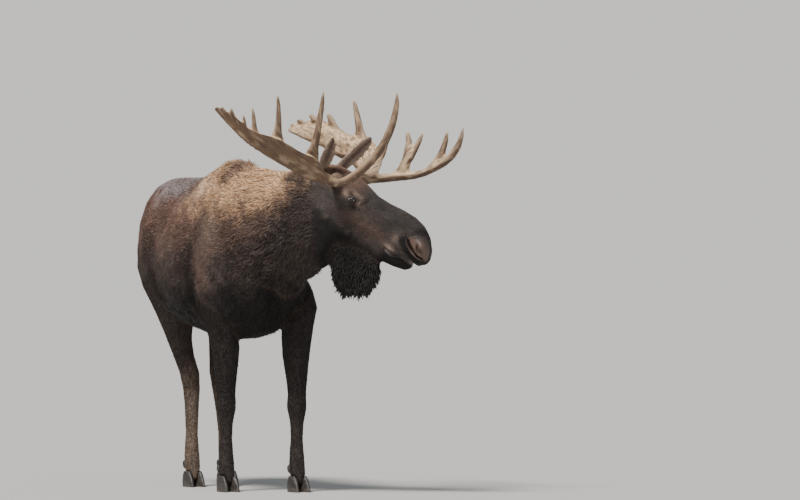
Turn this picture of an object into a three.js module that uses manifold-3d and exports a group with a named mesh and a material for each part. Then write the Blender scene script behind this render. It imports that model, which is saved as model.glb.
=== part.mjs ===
// A bull moose, life size, standing at ease with its head turned to its left.
// Millimetres. +X is forward along the spine, +Y is the animal's left, +Z is up.
// Each part of the body is a row of closed rings joined into one skin. The parts
// are united into one animal, which thin cuts then divide into its named pieces.

import * as THREE from "three";
import { mergeVertices } from "three/addons/utils/BufferGeometryUtils.js";
import Module from "manifold-3d";

const wasm = await Module();
wasm.setup();

// ---- Driving dimensions ----
const GAP = 0.4; // width of the thin cuts between neighbouring pieces
const CLEARANCE = 1; // how far a piece stands off the rounded neighbour it is seated on
const CRUMB = 5e4; // largest scrap, in cubic millimetres, that may be dropped beside a cut
const HUMP_HEIGHT = 1924; // top of the shoulder hump, at the tips of the coat
const BACK_HEIGHT = 1830; // loin and croup
const BRISKET_HEIGHT = 874; // lowest point of the chest
const BELLY_HEIGHT = 900;
const CHEST_HALF = 300; // half the width over the ribs behind the shoulder
const BELLY_HALF = 328;
const HIP_HALF = 296;
const RUMP_END = -1090; // rearmost point of the buttocks
const BREAST_END = 505; // foremost point of the breast
const KNEE_HEIGHT = 505;
const HOCK_HEIGHT = 625;
const FETLOCK_HEIGHT = 185;
const HOOF_HEIGHT = 92;
const ANKLE_END = 52; // where the leg ends inside its hooves
const HEAD_LENGTH = 780; // poll to the end of the nose
const HEAD_YAW = 49.5; // degrees to the left of the spine
const HEAD_PITCH = 38; // degrees that the face slopes down
const HEAD_ROLL = 3; // degrees that the left side hangs lower
const POLL = new THREE.Vector3(705, 295, 1852); // top of the skull between the ears
const EYE_RADIUS = 21;

// ---- Finishes ----
const finish = (color, roughness) => new THREE.MeshStandardMaterial({ color, roughness, metalness: 0 });
const DARK_COAT = finish(0x2a211d, 0.9);
const MANE_COAT = finish(0x6b513b, 0.9);
const LEG_COAT = finish(0x2d2926, 0.9);
const ANTLER_BONE = finish(0xb39472, 0.6);
const HORN = finish(0x1d1a18, 0.5);
const EYE = finish(0x120b08, 0.08);

// ---- Shape tools ----
const rad = THREE.MathUtils.degToRad;
const vec = (x, y, z) => new THREE.Vector3(x, y, z);
const X_AXIS = vec(1, 0, 0);
const Y_AXIS = vec(0, 1, 0);
const Z_AXIS = vec(0, 0, 1);

// A smooth function through rows of [position, value, value, ...].
function between(rows) {
  const size = rows[0].length - 1;
  const places = rows.map((row) => row[0]);
  const values = rows.flatMap((row) => row.slice(1));
  const spline = new THREE.CubicInterpolant(places, values, size, new Float64Array(size));
  return (at) => Array.from(spline.evaluate(at));
}

// count + 1 places from one end to the other, at even steps.
function evenly(from, to, count) {
  return Array.from({ length: count + 1 }, (_, i) => from + ((to - from) * i) / count);
}

// count + 1 places from one end to the other, closer together near both ends.
function spread(from, to, count) {
  const shares = evenly(0, Math.PI, count).map((angle) => (1 - Math.cos(angle)) / 2);
  return shares.map((share) => from + (to - from) * share);
}

// One closed ring in the plane of side and up: a superellipse with its own reach each way.
// bend lifts both edges towards up, as in a cupped ear or palm; pinch narrows the upper part.
function ring(measures, around, grow = 0) {
  const { centre, side, up, left, top } = measures;
  const { right = left, bottom = top, power = 2, bend = 0, pinch = 0 } = measures;
  const points = [];
  for (let i = 0; i < around; i++) {
    const angle = (2 * Math.PI * i) / around;
    const c = Math.cos(angle);
    const s = Math.sin(angle);
    const across = Math.sign(c) * Math.abs(c) ** (2 / power) * ((c > 0 ? left : right) + grow);
    const over = Math.sign(s) * Math.abs(s) ** (2 / power) * ((s > 0 ? top : bottom) + grow);
    const narrowing = 1 - pinch * Math.max(0, s) ** 2;
    points.push(
      centre
        .clone()
        .addScaledVector(side, across * narrowing)
        .addScaledVector(up, over + bend * c * c),
    );
  }
  return points;
}

// A closed surface through rings that all have the same number of points, with a flat fan at each end.
// grow moves both end rings outwards along the body.
function loft(rings, grow = 0) {
  const around = rings[0].length;
  const middleOf = (points) => points.reduce((sum, p) => sum.add(p), vec(0, 0, 0)).divideScalar(around);
  for (const [end, next] of [
    [rings[0], rings[1]],
    [rings.at(-1), rings.at(-2)],
  ]) {
    const step = middleOf(end).sub(middleOf(next)).setLength(grow);
    for (const p of end) p.add(step);
  }
  const position = rings.flat().flatMap((p) => p.toArray());
  const index = [];
  for (let r = 0; r + 1 < rings.length; r++)
    for (let i = 0; i < around; i++) {
      const a = r * around + i;
      const b = r * around + ((i + 1) % around);
      index.push(a, b, b + around, a, b + around, a + around);
    }
  for (const [r, flip] of [
    [0, true],
    [rings.length - 1, false],
  ]) {
    const hub = position.length / 3;
    position.push(...middleOf(rings[r]).toArray());
    for (let i = 0; i < around; i++) {
      const a = r * around + i;
      const b = r * around + ((i + 1) % around);
      index.push(...(flip ? [hub, b, a] : [hub, a, b]));
    }
  }
  const geometry = new THREE.BufferGeometry();
  geometry.setAttribute("position", new THREE.Float32BufferAttribute(position, 3));
  geometry.setIndex(index);
  return geometry;
}

// A closed geometry as a solid that can be joined and cut, its faces turned outwards.
function solid(geometry) {
  const bare = new THREE.BufferGeometry();
  bare.setAttribute("position", geometry.getAttribute("position"));
  bare.setIndex(geometry.index);
  const merged = mergeVertices(bare, 1e-3);
  const vertProperties = merged.attributes.position.array;
  const triVerts = new Uint32Array(merged.index.array);
  const make = () => new wasm.Manifold(new wasm.Mesh({ numProp: 3, vertProperties, triVerts }));
  const made = make();
  if (made.volume() > 0) return made;
  for (let i = 0; i < triVerts.length; i += 3) triVerts.subarray(i + 1, i + 3).reverse();
  return make();
}

function geometryOf(body) {
  const mesh = body.getMesh();
  const geometry = new THREE.BufferGeometry();
  geometry.setAttribute("position", new THREE.Float32BufferAttribute(mesh.vertProperties, 3));
  geometry.setIndex(new THREE.BufferAttribute(mesh.triVerts, 1));
  geometry.computeVertexNormals();
  return geometry;
}

const united = (solids) => solids.reduce((sum, one) => sum.add(one));

// A round tapering rod along a curve, with a domed end. radiusAt takes the share of the way along.
function rod(curve, radiusAt, steps, around, { flat = 1, facing = Z_AXIS, grow = 0 } = {}) {
  const rings = [];
  for (let i = 0; i <= steps; i++) {
    const t = i / steps;
    const along = curve.getTangentAt(t);
    const side = facing.clone().cross(along).normalize();
    const up = along.clone().cross(side).normalize();
    const radius = radiusAt(t);
    const centre = curve.getPointAt(t);
    rings.push(ring({ centre, side, up, left: radius, top: radius * flat }, around, grow));
  }
  return solid(loft(rings, grow));
}

// The space beyond every one of the given planes, each a point and the way its face looks in.
function beyond(planes, grow = 0) {
  const blocks = planes.map(([point, inward]) => {
    const box = new THREE.BoxGeometry(6000, 6000, 6000);
    box.translate(0, 0, 3000 - grow);
    box.applyQuaternion(new THREE.Quaternion().setFromUnitVectors(Z_AXIS, inward.clone().normalize()));
    box.translate(point.x, point.y, point.z);
    return solid(box);
  });
  return blocks.reduce((space, block) => space.intersect(block));
}

// Parts a body in two: what lies beyond the planes, and the rest less a thin gap.
const parted = (body, planes) => [body.intersect(beyond(planes)), body.subtract(beyond(planes, GAP))];

// ---- Trunk: rings across the spine, from buttocks to breast ----
function trunk(grow = 0) {
  const shape = between([
    // along, top, bottom, widest level, half width, pinch of the ridge, leftward
    [RUMP_END, 1520, 1340, 1430, 66, 0, 0],
    [RUMP_END + 18, 1650, 1275, 1425, 138, 0, 0],
    [-1020, 1758, 1200, 1415, 208, 0, 0],
    [-940, BACK_HEIGHT - 14, 1120, 1400, 254, 0, 0],
    [-820, BACK_HEIGHT - 2, 1052, 1385, HIP_HALF, 0.03, 0],
    [-670, BACK_HEIGHT, 1008, 1345, BELLY_HALF - 10, 0.12, 0],
    [-500, BACK_HEIGHT - 5, BELLY_HEIGHT + 56, 1310, BELLY_HALF, 0.2, 0],
    [-380, BACK_HEIGHT, BELLY_HEIGHT + 20, 1300, BELLY_HALF - 4, 0.26, 0],
    [-260, BACK_HEIGHT + 36, BELLY_HEIGHT, 1305, CHEST_HALF + 14, 0.34, 0],
    [-130, BACK_HEIGHT + 74, BRISKET_HEIGHT + 12, 1310, CHEST_HALF, 0.42, 0],
    [0, HUMP_HEIGHT, BRISKET_HEIGHT, 1330, CHEST_HALF - 5, 0.45, 0],
    [120, HUMP_HEIGHT - 8, BRISKET_HEIGHT, 1340, CHEST_HALF - 6, 0.45, 6],
    [225, HUMP_HEIGHT - 55, BRISKET_HEIGHT + 14, 1335, CHEST_HALF - 18, 0.35, 18],
    [330, 1760, 908, 1320, 250, 0.2, 36],
    [415, 1620, 990, 1300, 195, 0.1, 54],
    [475, 1490, 1085, 1285, 128, 0, 68],
    [BREAST_END, 1390, 1180, 1280, 60, 0, 76],
  ]);
  const rings = spread(RUMP_END, BREAST_END, 19).map((x) => {
    const [top, bottom, level, half, pinch, aside] = shape(x);
    const sizes = { left: half, top: top - level, bottom: level - bottom, power: 2.15, pinch };
    return ring({ centre: vec(x, aside, level), side: Y_AXIS, up: Z_AXIS, ...sizes }, 18, grow);
  });
  return solid(loft(rings, grow));
}

// ---- Neck: rings across a curve that leaves the chest and bends to the left ----
function neck(grow = 0) {
  const curve = new THREE.CatmullRomCurve3([
    vec(60, 0, 1500),
    vec(250, 22, 1490),
    vec(425, 90, 1505),
    vec(572, 182, 1540),
    vec(680, 272, 1580),
    vec(760, 358, 1595),
  ]);
  const shape = between([
    // share of the way, crest above the curve, throat below it, half width, pinch of the crest
    [0, 390, 400, 240, 0.4],
    [0.25, 380, 415, 242, 0.42],
    [0.48, 345, 368, 216, 0.42],
    [0.68, 308, 325, 184, 0.38],
    [0.86, 262, 280, 145, 0.3],
    [1, 140, 170, 80, 0.2],
  ]);
  const rings = evenly(0, 1, 8).map((t) => {
    const [top, bottom, half, pinch] = shape(t);
    const side = Z_AXIS.clone().cross(curve.getTangentAt(t)).normalize();
    const sizes = { left: half, top, bottom, power: 2.1, pinch };
    return ring({ centre: curve.getPointAt(t), side, up: Z_AXIS, ...sizes }, 16, grow);
  });
  return solid(loft(rings, grow));
}

// ---- Head, in its own frame: x from the poll to the nose, y to the left, z out of the forehead ----
const headFrame = new THREE.Matrix4()
  .makeTranslation(POLL)
  .multiply(new THREE.Matrix4().makeRotationZ(rad(HEAD_YAW)))
  .multiply(new THREE.Matrix4().makeRotationX(-rad(HEAD_ROLL)))
  .multiply(new THREE.Matrix4().makeRotationY(rad(HEAD_PITCH)));
const inHead = (geometry) => geometry.applyMatrix4(headFrame);
const EYE_PLACE = vec(229, 100, -47);
const NOSTRIL_PLACE = vec(716, 68, -32);

function skull(grow = 0) {
  const shape = between([
    // along, top, bottom, widest level, half width, pinch of the top
    [-60, -15, -235, -120, 70, 0.2],
    [0, 18, -285, -115, 104, 0.2],
    [90, 54, -300, -95, 116, 0.2],
    [170, 74, -292, -72, 117, 0.2],
    [240, 62, -275, -80, 106, 0.25],
    [320, 53, -240, -85, 88, 0.3],
    [400, 64, -208, -75, 74, 0.3],
    [480, 83, -190, -60, 71, 0.25],
    [550, 94, -178, -50, 78, 0.2],
    [620, 91, -152, -45, 87, 0.15],
    [680, 71, -130, -42, 86, 0.12],
    [735, 28, -121, -52, 70, 0.1],
    [HEAD_LENGTH, -36, -78, -56, 28, 0],
  ]);
  const rings = spread(-60, HEAD_LENGTH, 15).map((x) => {
    const [top, bottom, level, half, pinch] = shape(x);
    const sizes = { left: half, top: top - level, bottom: level - bottom, power: 2.3, pinch };
    return ring({ centre: vec(x, 0, level), side: Y_AXIS, up: Z_AXIS, ...sizes }, 16, grow);
  });
  return solid(inHead(loft(rings, grow)));
}

const JAW_END = 722;
function lowerJaw(grow = 0) {
  const shape = between([
    // along, middle level, half depth, half width
    [120, -205, 84, 96],
    [230, -210, 92, 92],
    [360, -196, 82, 75],
    [480, -180, 70, 62],
    [550, -180, 45, 50],
    [590, -178, 38, 46],
    [633, -170, 34, 43],
    [673, -160, 33, 38],
    [704, -150, 25, 30],
    [JAW_END, -143, 10, 14],
  ]);
  const rings = spread(120, JAW_END, 8).map((x) => {
    const [level, depth, half] = shape(x);
    const sizes = { left: half, top: depth, power: 2.2 };
    return ring({ centre: vec(x, 0, level), side: Y_AXIS, up: Z_AXIS, ...sizes }, 12, grow);
  });
  return solid(inHead(loft(rings, grow)));
}

// An ellipsoid in the head's frame, which cuts the nostrils or seats the eyes.
function bead(place, size, turn = 0, segments = 16) {
  const ball = new THREE.SphereGeometry(1, segments, Math.round(segments * 0.6));
  ball.scale(size.x, size.y, size.z);
  ball.rotateY(rad(turn));
  ball.translate(place.x, place.y, place.z);
  return solid(inHead(ball));
}

const mirrored = (place, side) => vec(place.x, place.y * side, place.z);
const eye = (side, grow = 0) => {
  const radius = EYE_RADIUS + grow;
  return bead(mirrored(EYE_PLACE, side), vec(radius, radius, radius), 0, 10);
};
const nostril = (side) => bead(mirrored(NOSTRIL_PLACE, side), vec(20, 24, 48), -56, 8);

// ---- Ears: cupped leaves ----
const EAR_SPREAD = { pointed: [26, 42, 50, 36, 17, 5], rounded: [26, 38, 44, 42, 29, 12] };
const RIGHT_EAR = {
  root: vec(-24, -75, -44),
  tip: vec(-58, -170, 166),
  openTowards: vec(0.75, -0.5, 0.2),
  spread: EAR_SPREAD.pointed,
};
const LEFT_EAR = {
  root: vec(2, 78, -10),
  tip: vec(30, 150, 263),
  openTowards: vec(0.75, -0.6, 0.1),
  spread: EAR_SPREAD.rounded,
};

function ear({ root, tip, openTowards, spread: halves }) {
  const handle = root.clone().lerp(tip, 0.5).addScaledVector(openTowards, -14);
  const curve = new THREE.QuadraticBezierCurve3(root, handle, tip);
  const shape = between([
    // share of the way, half width, half thickness, cup
    [0, halves[0], 20, 4],
    [0.25, halves[1], 14, 18],
    [0.55, halves[2], 10, 24],
    [0.8, halves[3], 8, 16],
    [0.94, halves[4], 7, 7],
    [1, halves[5], 5, 0],
  ]);
  const rings = spread(0, 1, 7).map((t) => {
    const [half, thick, cup] = shape(t);
    const along = curve.getTangentAt(t);
    const across = openTowards.clone().cross(along).normalize();
    const up = along.clone().cross(across).normalize();
    return ring({ centre: curve.getPointAt(t), side: across, up, left: half, top: thick, bend: cup }, 10);
  });
  return solid(inHead(loft(rings)));
}

// ---- Bell: the flap of skin and long hair under the throat ----
const BELL_DROP = 280;
function bell() {
  const place = vec(470, 0, -190).applyMatrix4(headFrame);
  const forward = vec(Math.cos(rad(HEAD_YAW)), Math.sin(rad(HEAD_YAW)), 0);
  const left = Z_AXIS.clone().cross(forward);
  const shape = between([
    // height below the jaw, shift back, half length, half width
    [-70, 116, 120, 40],
    [0, 106, 155, 52],
    [90, 104, 155, 55],
    [170, 103, 148, 52],
    [238, 105, 132, 44],
    [BELL_DROP, 102, 92, 28],
  ]);
  const rings = spread(-70, BELL_DROP, 7).map((drop) => {
    const [back, half, thick] = shape(drop);
    const centre = place.clone().addScaledVector(forward, -back).addScaledVector(Z_AXIS, -drop);
    return ring({ centre, side: forward, up: left, left: half, top: thick, power: 2.2 }, 12);
  });
  return solid(loft(rings));
}

// ---- Legs: level rings whose middles follow a path and whose girths are the same on both sides ----
const FORE_FEET = { left: vec(308, 246, 0), right: vec(111, -113, 0) };
const HIND_FEET = { left: vec(-580, 165, 0), right: vec(-562, -58, 0) };

function limb(path, girths, foot, around) {
  const byHeight = (rows) => between([...rows].sort((a, b) => a[0] - b[0]));
  const middle = byHeight([[ANKLE_END, foot.x + 22, foot.y], [FETLOCK_HEIGHT, foot.x, foot.y], ...path]);
  const girth = byHeight(girths);
  const top = girths[0][0];
  const rings = evenly(0, 1, 16).map((t) => {
    const z = ANKLE_END + (top - ANKLE_END) * t ** 1.25;
    const [x, y] = middle(z);
    const [length, width] = girth(z);
    const sizes = { left: length, top: width, power: 2.2 };
    return ring({ centre: vec(x, y, z), side: X_AXIS, up: Y_AXIS, ...sizes }, around);
  });
  return solid(loft(rings));
}

const FORE_GIRTHS = [
  // height, half length, half width
  [1500, 110, 55],
  [1400, 150, 85],
  [1300, 166, 102],
  [1130, 155, 108],
  [985, 120, 94],
  [880, 100, 82],
  [760, 78, 68],
  [640, 64, 58],
  [KNEE_HEIGHT + 50, 56, 51],
  [KNEE_HEIGHT, 60, 55],
  [KNEE_HEIGHT - 60, 50, 47],
  [390, 41, 38],
  [270, 38, 35],
  [FETLOCK_HEIGHT + 15, 48, 44],
  [FETLOCK_HEIGHT - 30, 47, 44],
  [110, 42, 42],
  [70, 47, 46],
  [ANKLE_END, 40, 38],
];
const FORE_PATHS = {
  // height, forward, leftward
  left: [
    [1500, 60, 140],
    [1400, 105, 172],
    [1300, 150, 205],
    [1210, 200, 236],
    [1110, 252, 266],
    [1046, 278, 270],
    [988, 290, 258],
    [880, 300, 250],
    [640, 308, 246],
    [KNEE_HEIGHT, 311, 246],
    [350, 308, 246],
  ],
  right: [
    [1500, 40, -140],
    [1400, 48, -166],
    [1300, 60, -184],
    [1130, 72, -190],
    [985, 97, -148],
    [880, 109, -121],
    [640, 113, -114],
    [KNEE_HEIGHT, 115, -113],
    [350, 111, -113],
  ],
};
const HIND_GIRTHS = [
  [1520, 190, 95],
  [1380, 258, 128],
  [1280, 272, 130],
  [1160, 248, 116],
  [1050, 212, 96],
  [990, 180, 86],
  [930, 144, 75],
  [810, 95, 59],
  [HOCK_HEIGHT + 80, 79, 54],
  [HOCK_HEIGHT + 20, 78, 53],
  [HOCK_HEIGHT - 45, 62, 48],
  [500, 50, 42],
  [390, 43, 37],
  [280, 40, 35],
  [FETLOCK_HEIGHT + 15, 49, 44],
  [FETLOCK_HEIGHT - 30, 48, 44],
  [110, 43, 42],
  [70, 48, 46],
  [ANKLE_END, 41, 38],
];
const HIND_PATHS = {
  left: [
    [1520, -800, 128],
    [1380, -785, 168],
    [1280, -765, 184],
    [1160, -735, 190],
    [1050, -692, 192],
    [990, -686, 189],
    [930, -684, 185],
    [810, -688, 173],
    [HOCK_HEIGHT + 60, -690, 167],
    [HOCK_HEIGHT - 20, -670, 165],
    [500, -640, 164],
    [300, -600, 164],
  ],
  right: [
    [1520, -800, -120],
    [1380, -785, -154],
    [1280, -762, -154],
    [1160, -735, -134],
    [1050, -692, -117],
    [990, -686, -111],
    [930, -684, -100],
    [810, -684, -77],
    [HOCK_HEIGHT + 60, -670, -34],
    [HOCK_HEIGHT - 20, -648, -29],
    [500, -618, -37],
    [300, -580, -52],
  ],
};

// A claw is half a cloven hoof: level rings that narrow to the toe and rise to the hairline.
const CLAW_AHEAD = 15; // how far the claw's middle lies ahead of the leg's
const CLAW_ASIDE = 31; // and beside it
const CLAW_TURN = 3; // degrees that the toes point outwards
function claw(foot, side, grow = 0) {
  const shape = between([
    // height, heel behind the foot, toe ahead of it, half width
    [0, 52, 98, 28],
    [30, 54, 88, 29],
    [60, 52, 66, 27],
    [HOOF_HEIGHT, 42, 36, 20],
  ]);
  const rings = evenly(0, HOOF_HEIGHT, 3).map((z) => {
    const [heel, toe, half] = shape(z);
    const sizes = { left: toe, right: heel, top: half, power: 2.2 };
    const centre = vec(CLAW_AHEAD, 0, z === HOOF_HEIGHT ? z + grow : z);
    const points = ring({ centre, side: X_AXIS, up: Y_AXIS, ...sizes }, 10, grow);
    for (const p of points) p.y *= 1 - 0.5 * Math.max(0, (p.x - CLAW_AHEAD) / toe) ** 2;
    return points;
  });
  const geometry = loft(rings);
  geometry.rotateZ(side * rad(CLAW_TURN));
  geometry.translate(foot.x, foot.y + side * CLAW_ASIDE, 0);
  return solid(geometry);
}

function dewclaw(foot, side, grow = 0) {
  const ball = new THREE.SphereGeometry(1, 7, 5);
  ball.scale(19 + grow, 15 + grow, 30 + grow);
  ball.rotateY(rad(-28));
  ball.translate(foot.x - 44, foot.y + side * 25, 130);
  return solid(ball);
}

function tail() {
  const curve = new THREE.QuadraticBezierCurve3(
    vec(RUMP_END + 90, 0, 1640),
    vec(RUMP_END - 5, 0, 1650),
    vec(RUMP_END - 12, 0, 1520),
  );
  const girth = between([
    [0, 40],
    [0.5, 38],
    [0.85, 30],
    [1, 12],
  ]);
  return rod(curve, (t) => girth(t)[0], 5, 8, { flat: 0.7, facing: Y_AXIS });
}

// ---- Antlers, in a frame at the brow: x forward, y outwards from the midline, z up ----
const ANTLER_ROOT = vec(84, 0, -13);
function antlerFrame(side) {
  const root = ANTLER_ROOT.clone().applyMatrix4(headFrame);
  if (side > 0) root.add(vec(-10, -8, 14));
  return new THREE.Matrix4()
    .makeTranslation(root)
    .multiply(new THREE.Matrix4().makeRotationZ(rad(HEAD_YAW)))
    .multiply(new THREE.Matrix4().makeRotationX(-rad(HEAD_ROLL)))
    .multiply(new THREE.Matrix4().makeScale(1, side, 1));
}

// A tine is wide and flat at its root, spread along the edge it grows from, and soon round.
const TINE_STEPS = [0, 0.1, 0.2, 0.4, 0.75, 0.93, 1];
function tine({ start, handle, tip, radius, thick, edgeWay, facing, web }, side, grow = 0) {
  const curve = new THREE.QuadraticBezierCurve3(start, handle, tip);
  const rings = TINE_STEPS.map((t) => {
    const along = curve.getTangentAt(t);
    const square = facing.clone().cross(along).normalize();
    const leftward = edgeWay.clone().normalize();
    if (leftward.dot(square) < 0) leftward.negate();
    const across = leftward.lerp(square, Math.min(1, t / 0.4)).normalize();
    const up = along.clone().cross(across).normalize();
    const taper = (1 - 0.4 * t - 0.32 * t ** 4) * (t === 1 ? 0.3 : 1);
    const wide = radius * (taper + web * Math.exp(-((t / 0.15) ** 2)));
    const deep = Math.min(radius * taper * 0.9, thick * (1 + 4 * t));
    return ring({ centre: curve.getPointAt(t), side: across, up, left: wide, top: deep }, 6, grow);
  });
  return solid(loft(rings, grow)).transform(antlerFrame(side).elements);
}

// A palm is a cupped plate along a curve, with its tined edge towards `edge`. A tine starts `at` a share
// of the way and bows out by `lean` of its length.
function palm({ spine, rootEdge, edge, halves, cup, thick, tines }, side, grow = 0) {
  const curve = new THREE.CatmullRomCurve3(spine);
  const shape = between(halves);
  const frameAt = (t) => {
    const along = curve.getTangentAt(t);
    const facing = rootEdge.clone().lerp(edge, Math.min(1, t / 0.4));
    const over = facing.addScaledVector(along, -facing.dot(along)).normalize();
    return { along, over, face: along.clone().cross(over).normalize(), centre: curve.getPointAt(t) };
  };
  const rings = evenly(0, 1, 16).map((t) => {
    const { over, face, centre } = frameAt(t);
    const [front, back] = shape(t);
    const fade = Math.sin(Math.PI * Math.min(1, t + 0.35)) ** 0.4;
    const sizes = {
      left: front,
      right: back,
      top: Math.max(3, (thick * fade) / 2),
      bend: cup * Math.sin(Math.PI * t),
    };
    return ring({ centre, side: over, up: face, ...sizes, power: 2.3 }, 8, grow);
  });
  const plate = solid(loft(rings, grow)).transform(antlerFrame(side).elements);
  const prongs = tines.map(({ at, tip, radius, lean = 0.14 }) => {
    const { along, over, face, centre } = frameAt(at);
    const [front] = shape(at);
    const start = centre.clone().addScaledVector(over, front * 0.66);
    start.addScaledVector(face, cup * Math.sin(Math.PI * at) * 0.43);
    const handle = start.clone().lerp(tip, 0.5).addScaledVector(over, start.distanceTo(tip) * lean);
    const root = { thick: thick * 0.36, edgeWay: along, facing: face, web: 1.4 };
    return tine({ start, handle, tip, radius, ...root }, side, grow);
  });
  return united([plate, ...prongs]);
}

function beam(side, fork, grow = 0) {
  const halfway = fork.clone().multiply(vec(0.45, 0.68, 0.7));
  const curve = new THREE.CatmullRomCurve3([vec(0, 40, -6), vec(2, 95, -3), halfway, fork]);
  const girth = between([
    [0, 34],
    [0.24, 40],
    [0.3, 46],
    [0.37, 36],
    [0.7, 34],
    [1, 30],
  ]);
  const made = rod(curve, (t) => girth(t)[0], 8, 9, { flat: 0.92, facing: X_AXIS, grow });
  return made.transform(antlerFrame(side).elements);
}

const FORK = { right: vec(8, 238, -18), left: vec(102, 250, 8) };

const RIGHT_PALM = {
  spine: [
    vec(2, 212, -12),
    vec(-83, 330, 45),
    vec(-149, 430, 88),
    vec(-246, 520, 150),
    vec(-368, 600, 208),
    vec(-451, 650, 295),
    vec(-540, 675, 367),
  ],
  rootEdge: vec(0.36, 0.45, 0.8),
  edge: vec(0.4, 0.45, 0.8),
  halves: [
    // share of the way, reach to the tined edge, reach to the back edge
    [0, 32, 32],
    [0.1, 34, 54],
    [0.2, 74, 62],
    [0.34, 76, 58],
    [0.52, 84, 54],
    [0.72, 60, 30],
    [0.88, 46, 32],
    [1, 12, 14],
  ],
  cup: 30,
  thick: 24,
  tines: [
    { at: 0.235, tip: vec(9, 395, 482), radius: 26, lean: 0.09 },
    { at: 0.52, tip: vec(-203, 585, 448), radius: 22 },
    { at: 0.68, tip: vec(-334, 640, 376), radius: 17 },
    { at: 0.77, tip: vec(-378, 660, 332), radius: 13 },
    { at: 0.87, tip: vec(-441, 690, 368), radius: 13 },
    { at: 0.94, tip: vec(-493, 690, 375), radius: 11 },
  ],
};

const LEFT_PALM = {
  spine: [
    vec(90, 222, 6),
    vec(55, 360, 120),
    vec(-51, 450, 212),
    vec(-144, 510, 238),
    vec(-261, 570, 305),
    vec(-381, 610, 327),
    vec(-476, 645, 332),
    vec(-523, 660, 327),
  ],
  rootEdge: vec(0.95, 0.1, 0.3),
  edge: vec(0.3, 0.3, 0.9),
  halves: [
    [0, 62, 32],
    [0.09, 86, 56],
    [0.2, 92, 84],
    [0.34, 96, 92],
    [0.42, 94, 90],
    [0.5, 76, 88],
    [0.58, 64, 88],
    [0.66, 70, 92],
    [0.8, 72, 80],
    [0.93, 44, 44],
    [1, 12, 14],
  ],
  cup: 30,
  thick: 24,
  tines: [
    { at: 0.155, tip: vec(162, 392, 246), radius: 27 },
    { at: 0.4, tip: vec(-88, 540, 492), radius: 28, lean: 0.02 },
    { at: 0.67, tip: vec(-272, 610, 420), radius: 26 },
    { at: 0.79, tip: vec(-392, 640, 414), radius: 24 },
    { at: 0.9, tip: vec(-472, 655, 386), radius: 18 },
    { at: 0.96, tip: vec(-510, 660, 360), radius: 12 },
  ],
};

const BROW_FACING = vec(0.3, -1, 0.2); // the way the flatter sides of the brow tines face

// The brow of the right antler is one long tine; that of the left forks into two pairs.
function rightBrow(grow = 0) {
  const curve = new THREE.CatmullRomCurve3([
    vec(3, 222, -18),
    vec(76, 262, -34),
    vec(147, 285, -6),
    vec(217, 300, 41),
    vec(282, 312, 103),
    vec(335, 320, 165),
    vec(371, 325, 230),
    vec(398, 325, 298),
    vec(412, 322, 366),
    vec(419, 318, 428),
    vec(416, 315, 480),
  ]);
  const girth = between([
    [0, 27],
    [0.15, 26],
    [0.6, 25],
    [0.8, 21],
    [0.93, 14],
    [1, 4],
  ]);
  const made = rod(curve, (t) => girth(t)[0], 12, 7, { flat: 0.85, facing: BROW_FACING, grow });
  return made.transform(antlerFrame(-1).elements);
}

function leftBrow(grow = 0) {
  const curve = new THREE.CatmullRomCurve3([
    vec(70, 232, 4),
    vec(182, 275, 16),
    vec(267, 295, 28),
    vec(342, 305, 31),
    vec(413, 310, 48),
    vec(479, 312, 80),
    vec(545, 312, 118),
    vec(594, 312, 170),
    vec(627, 310, 239),
    vec(643, 308, 312),
  ]);
  const girth = between([
    [0, 29],
    [0.3, 32],
    [0.45, 26],
    [0.62, 29],
    [0.8, 27],
    [0.93, 15],
    [1, 4],
  ]);
  const stem = rod(curve, (t) => girth(t)[0], 12, 7, { flat: 0.8, facing: vec(0, -0.3, 1), grow });
  const root = { thick: 24, edgeWay: vec(1, 0, 0.25), facing: BROW_FACING, web: 0.7 };
  const prong = (start, handle, tip, radius) => tine({ start, handle, tip, radius, ...root }, 1, grow);
  return united([
    stem.transform(antlerFrame(1).elements),
    prong(vec(268, 296, 30), vec(338, 345, 170), vec(287, 370, 294), 34),
    prong(vec(302, 322, 112), vec(366, 355, 206), vec(383, 370, 289), 24),
    prong(vec(462, 311, 78), vec(532, 330, 160), vec(537, 340, 293), 27),
  ]);
}

// ---- Assembly ----
const moose = new THREE.Group();
const keep = (name, body, material) => {
  const [largest, ...crumbs] = body.decompose().sort((a, b) => b.volume() - a.volume());
  if (crumbs.some((crumb) => crumb.volume() > CRUMB)) throw new Error(`${name} is in several pieces`);
  const mesh = new THREE.Mesh(geometryOf(largest), material);
  mesh.name = name;
  moose.add(mesh);
};
const without = (whole, others) => others.reduce((rest, one) => rest.subtract(one), whole);
const sides = { left: 1, right: -1 };

const body = united([
  trunk(),
  neck(),
  skull(),
  lowerJaw(),
  limb(FORE_PATHS.left, FORE_GIRTHS, FORE_FEET.left, 10),
  limb(FORE_PATHS.right, FORE_GIRTHS, FORE_FEET.right, 10),
  limb(HIND_PATHS.left, HIND_GIRTHS, HIND_FEET.left, 10),
  limb(HIND_PATHS.right, HIND_GIRTHS, HIND_FEET.right, 10),
]);

// The head and neck come away first, so that the slanting cuts of the legs never reach them.
const throatCut = [vec(270, 50, 1500), vec(0.8, 0.22, 0.55)];
const nape = vec(20, 0, -150).applyMatrix4(headFrame);
const headCut = [nape, vec(0.76, 0.02, 0.65).transformDirection(headFrame)];
const [front, rear] = parted(body, [throatCut]);
const [headWhole, neckPiece] = parted(front, [headCut]);
let trunkPiece = rear;

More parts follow.
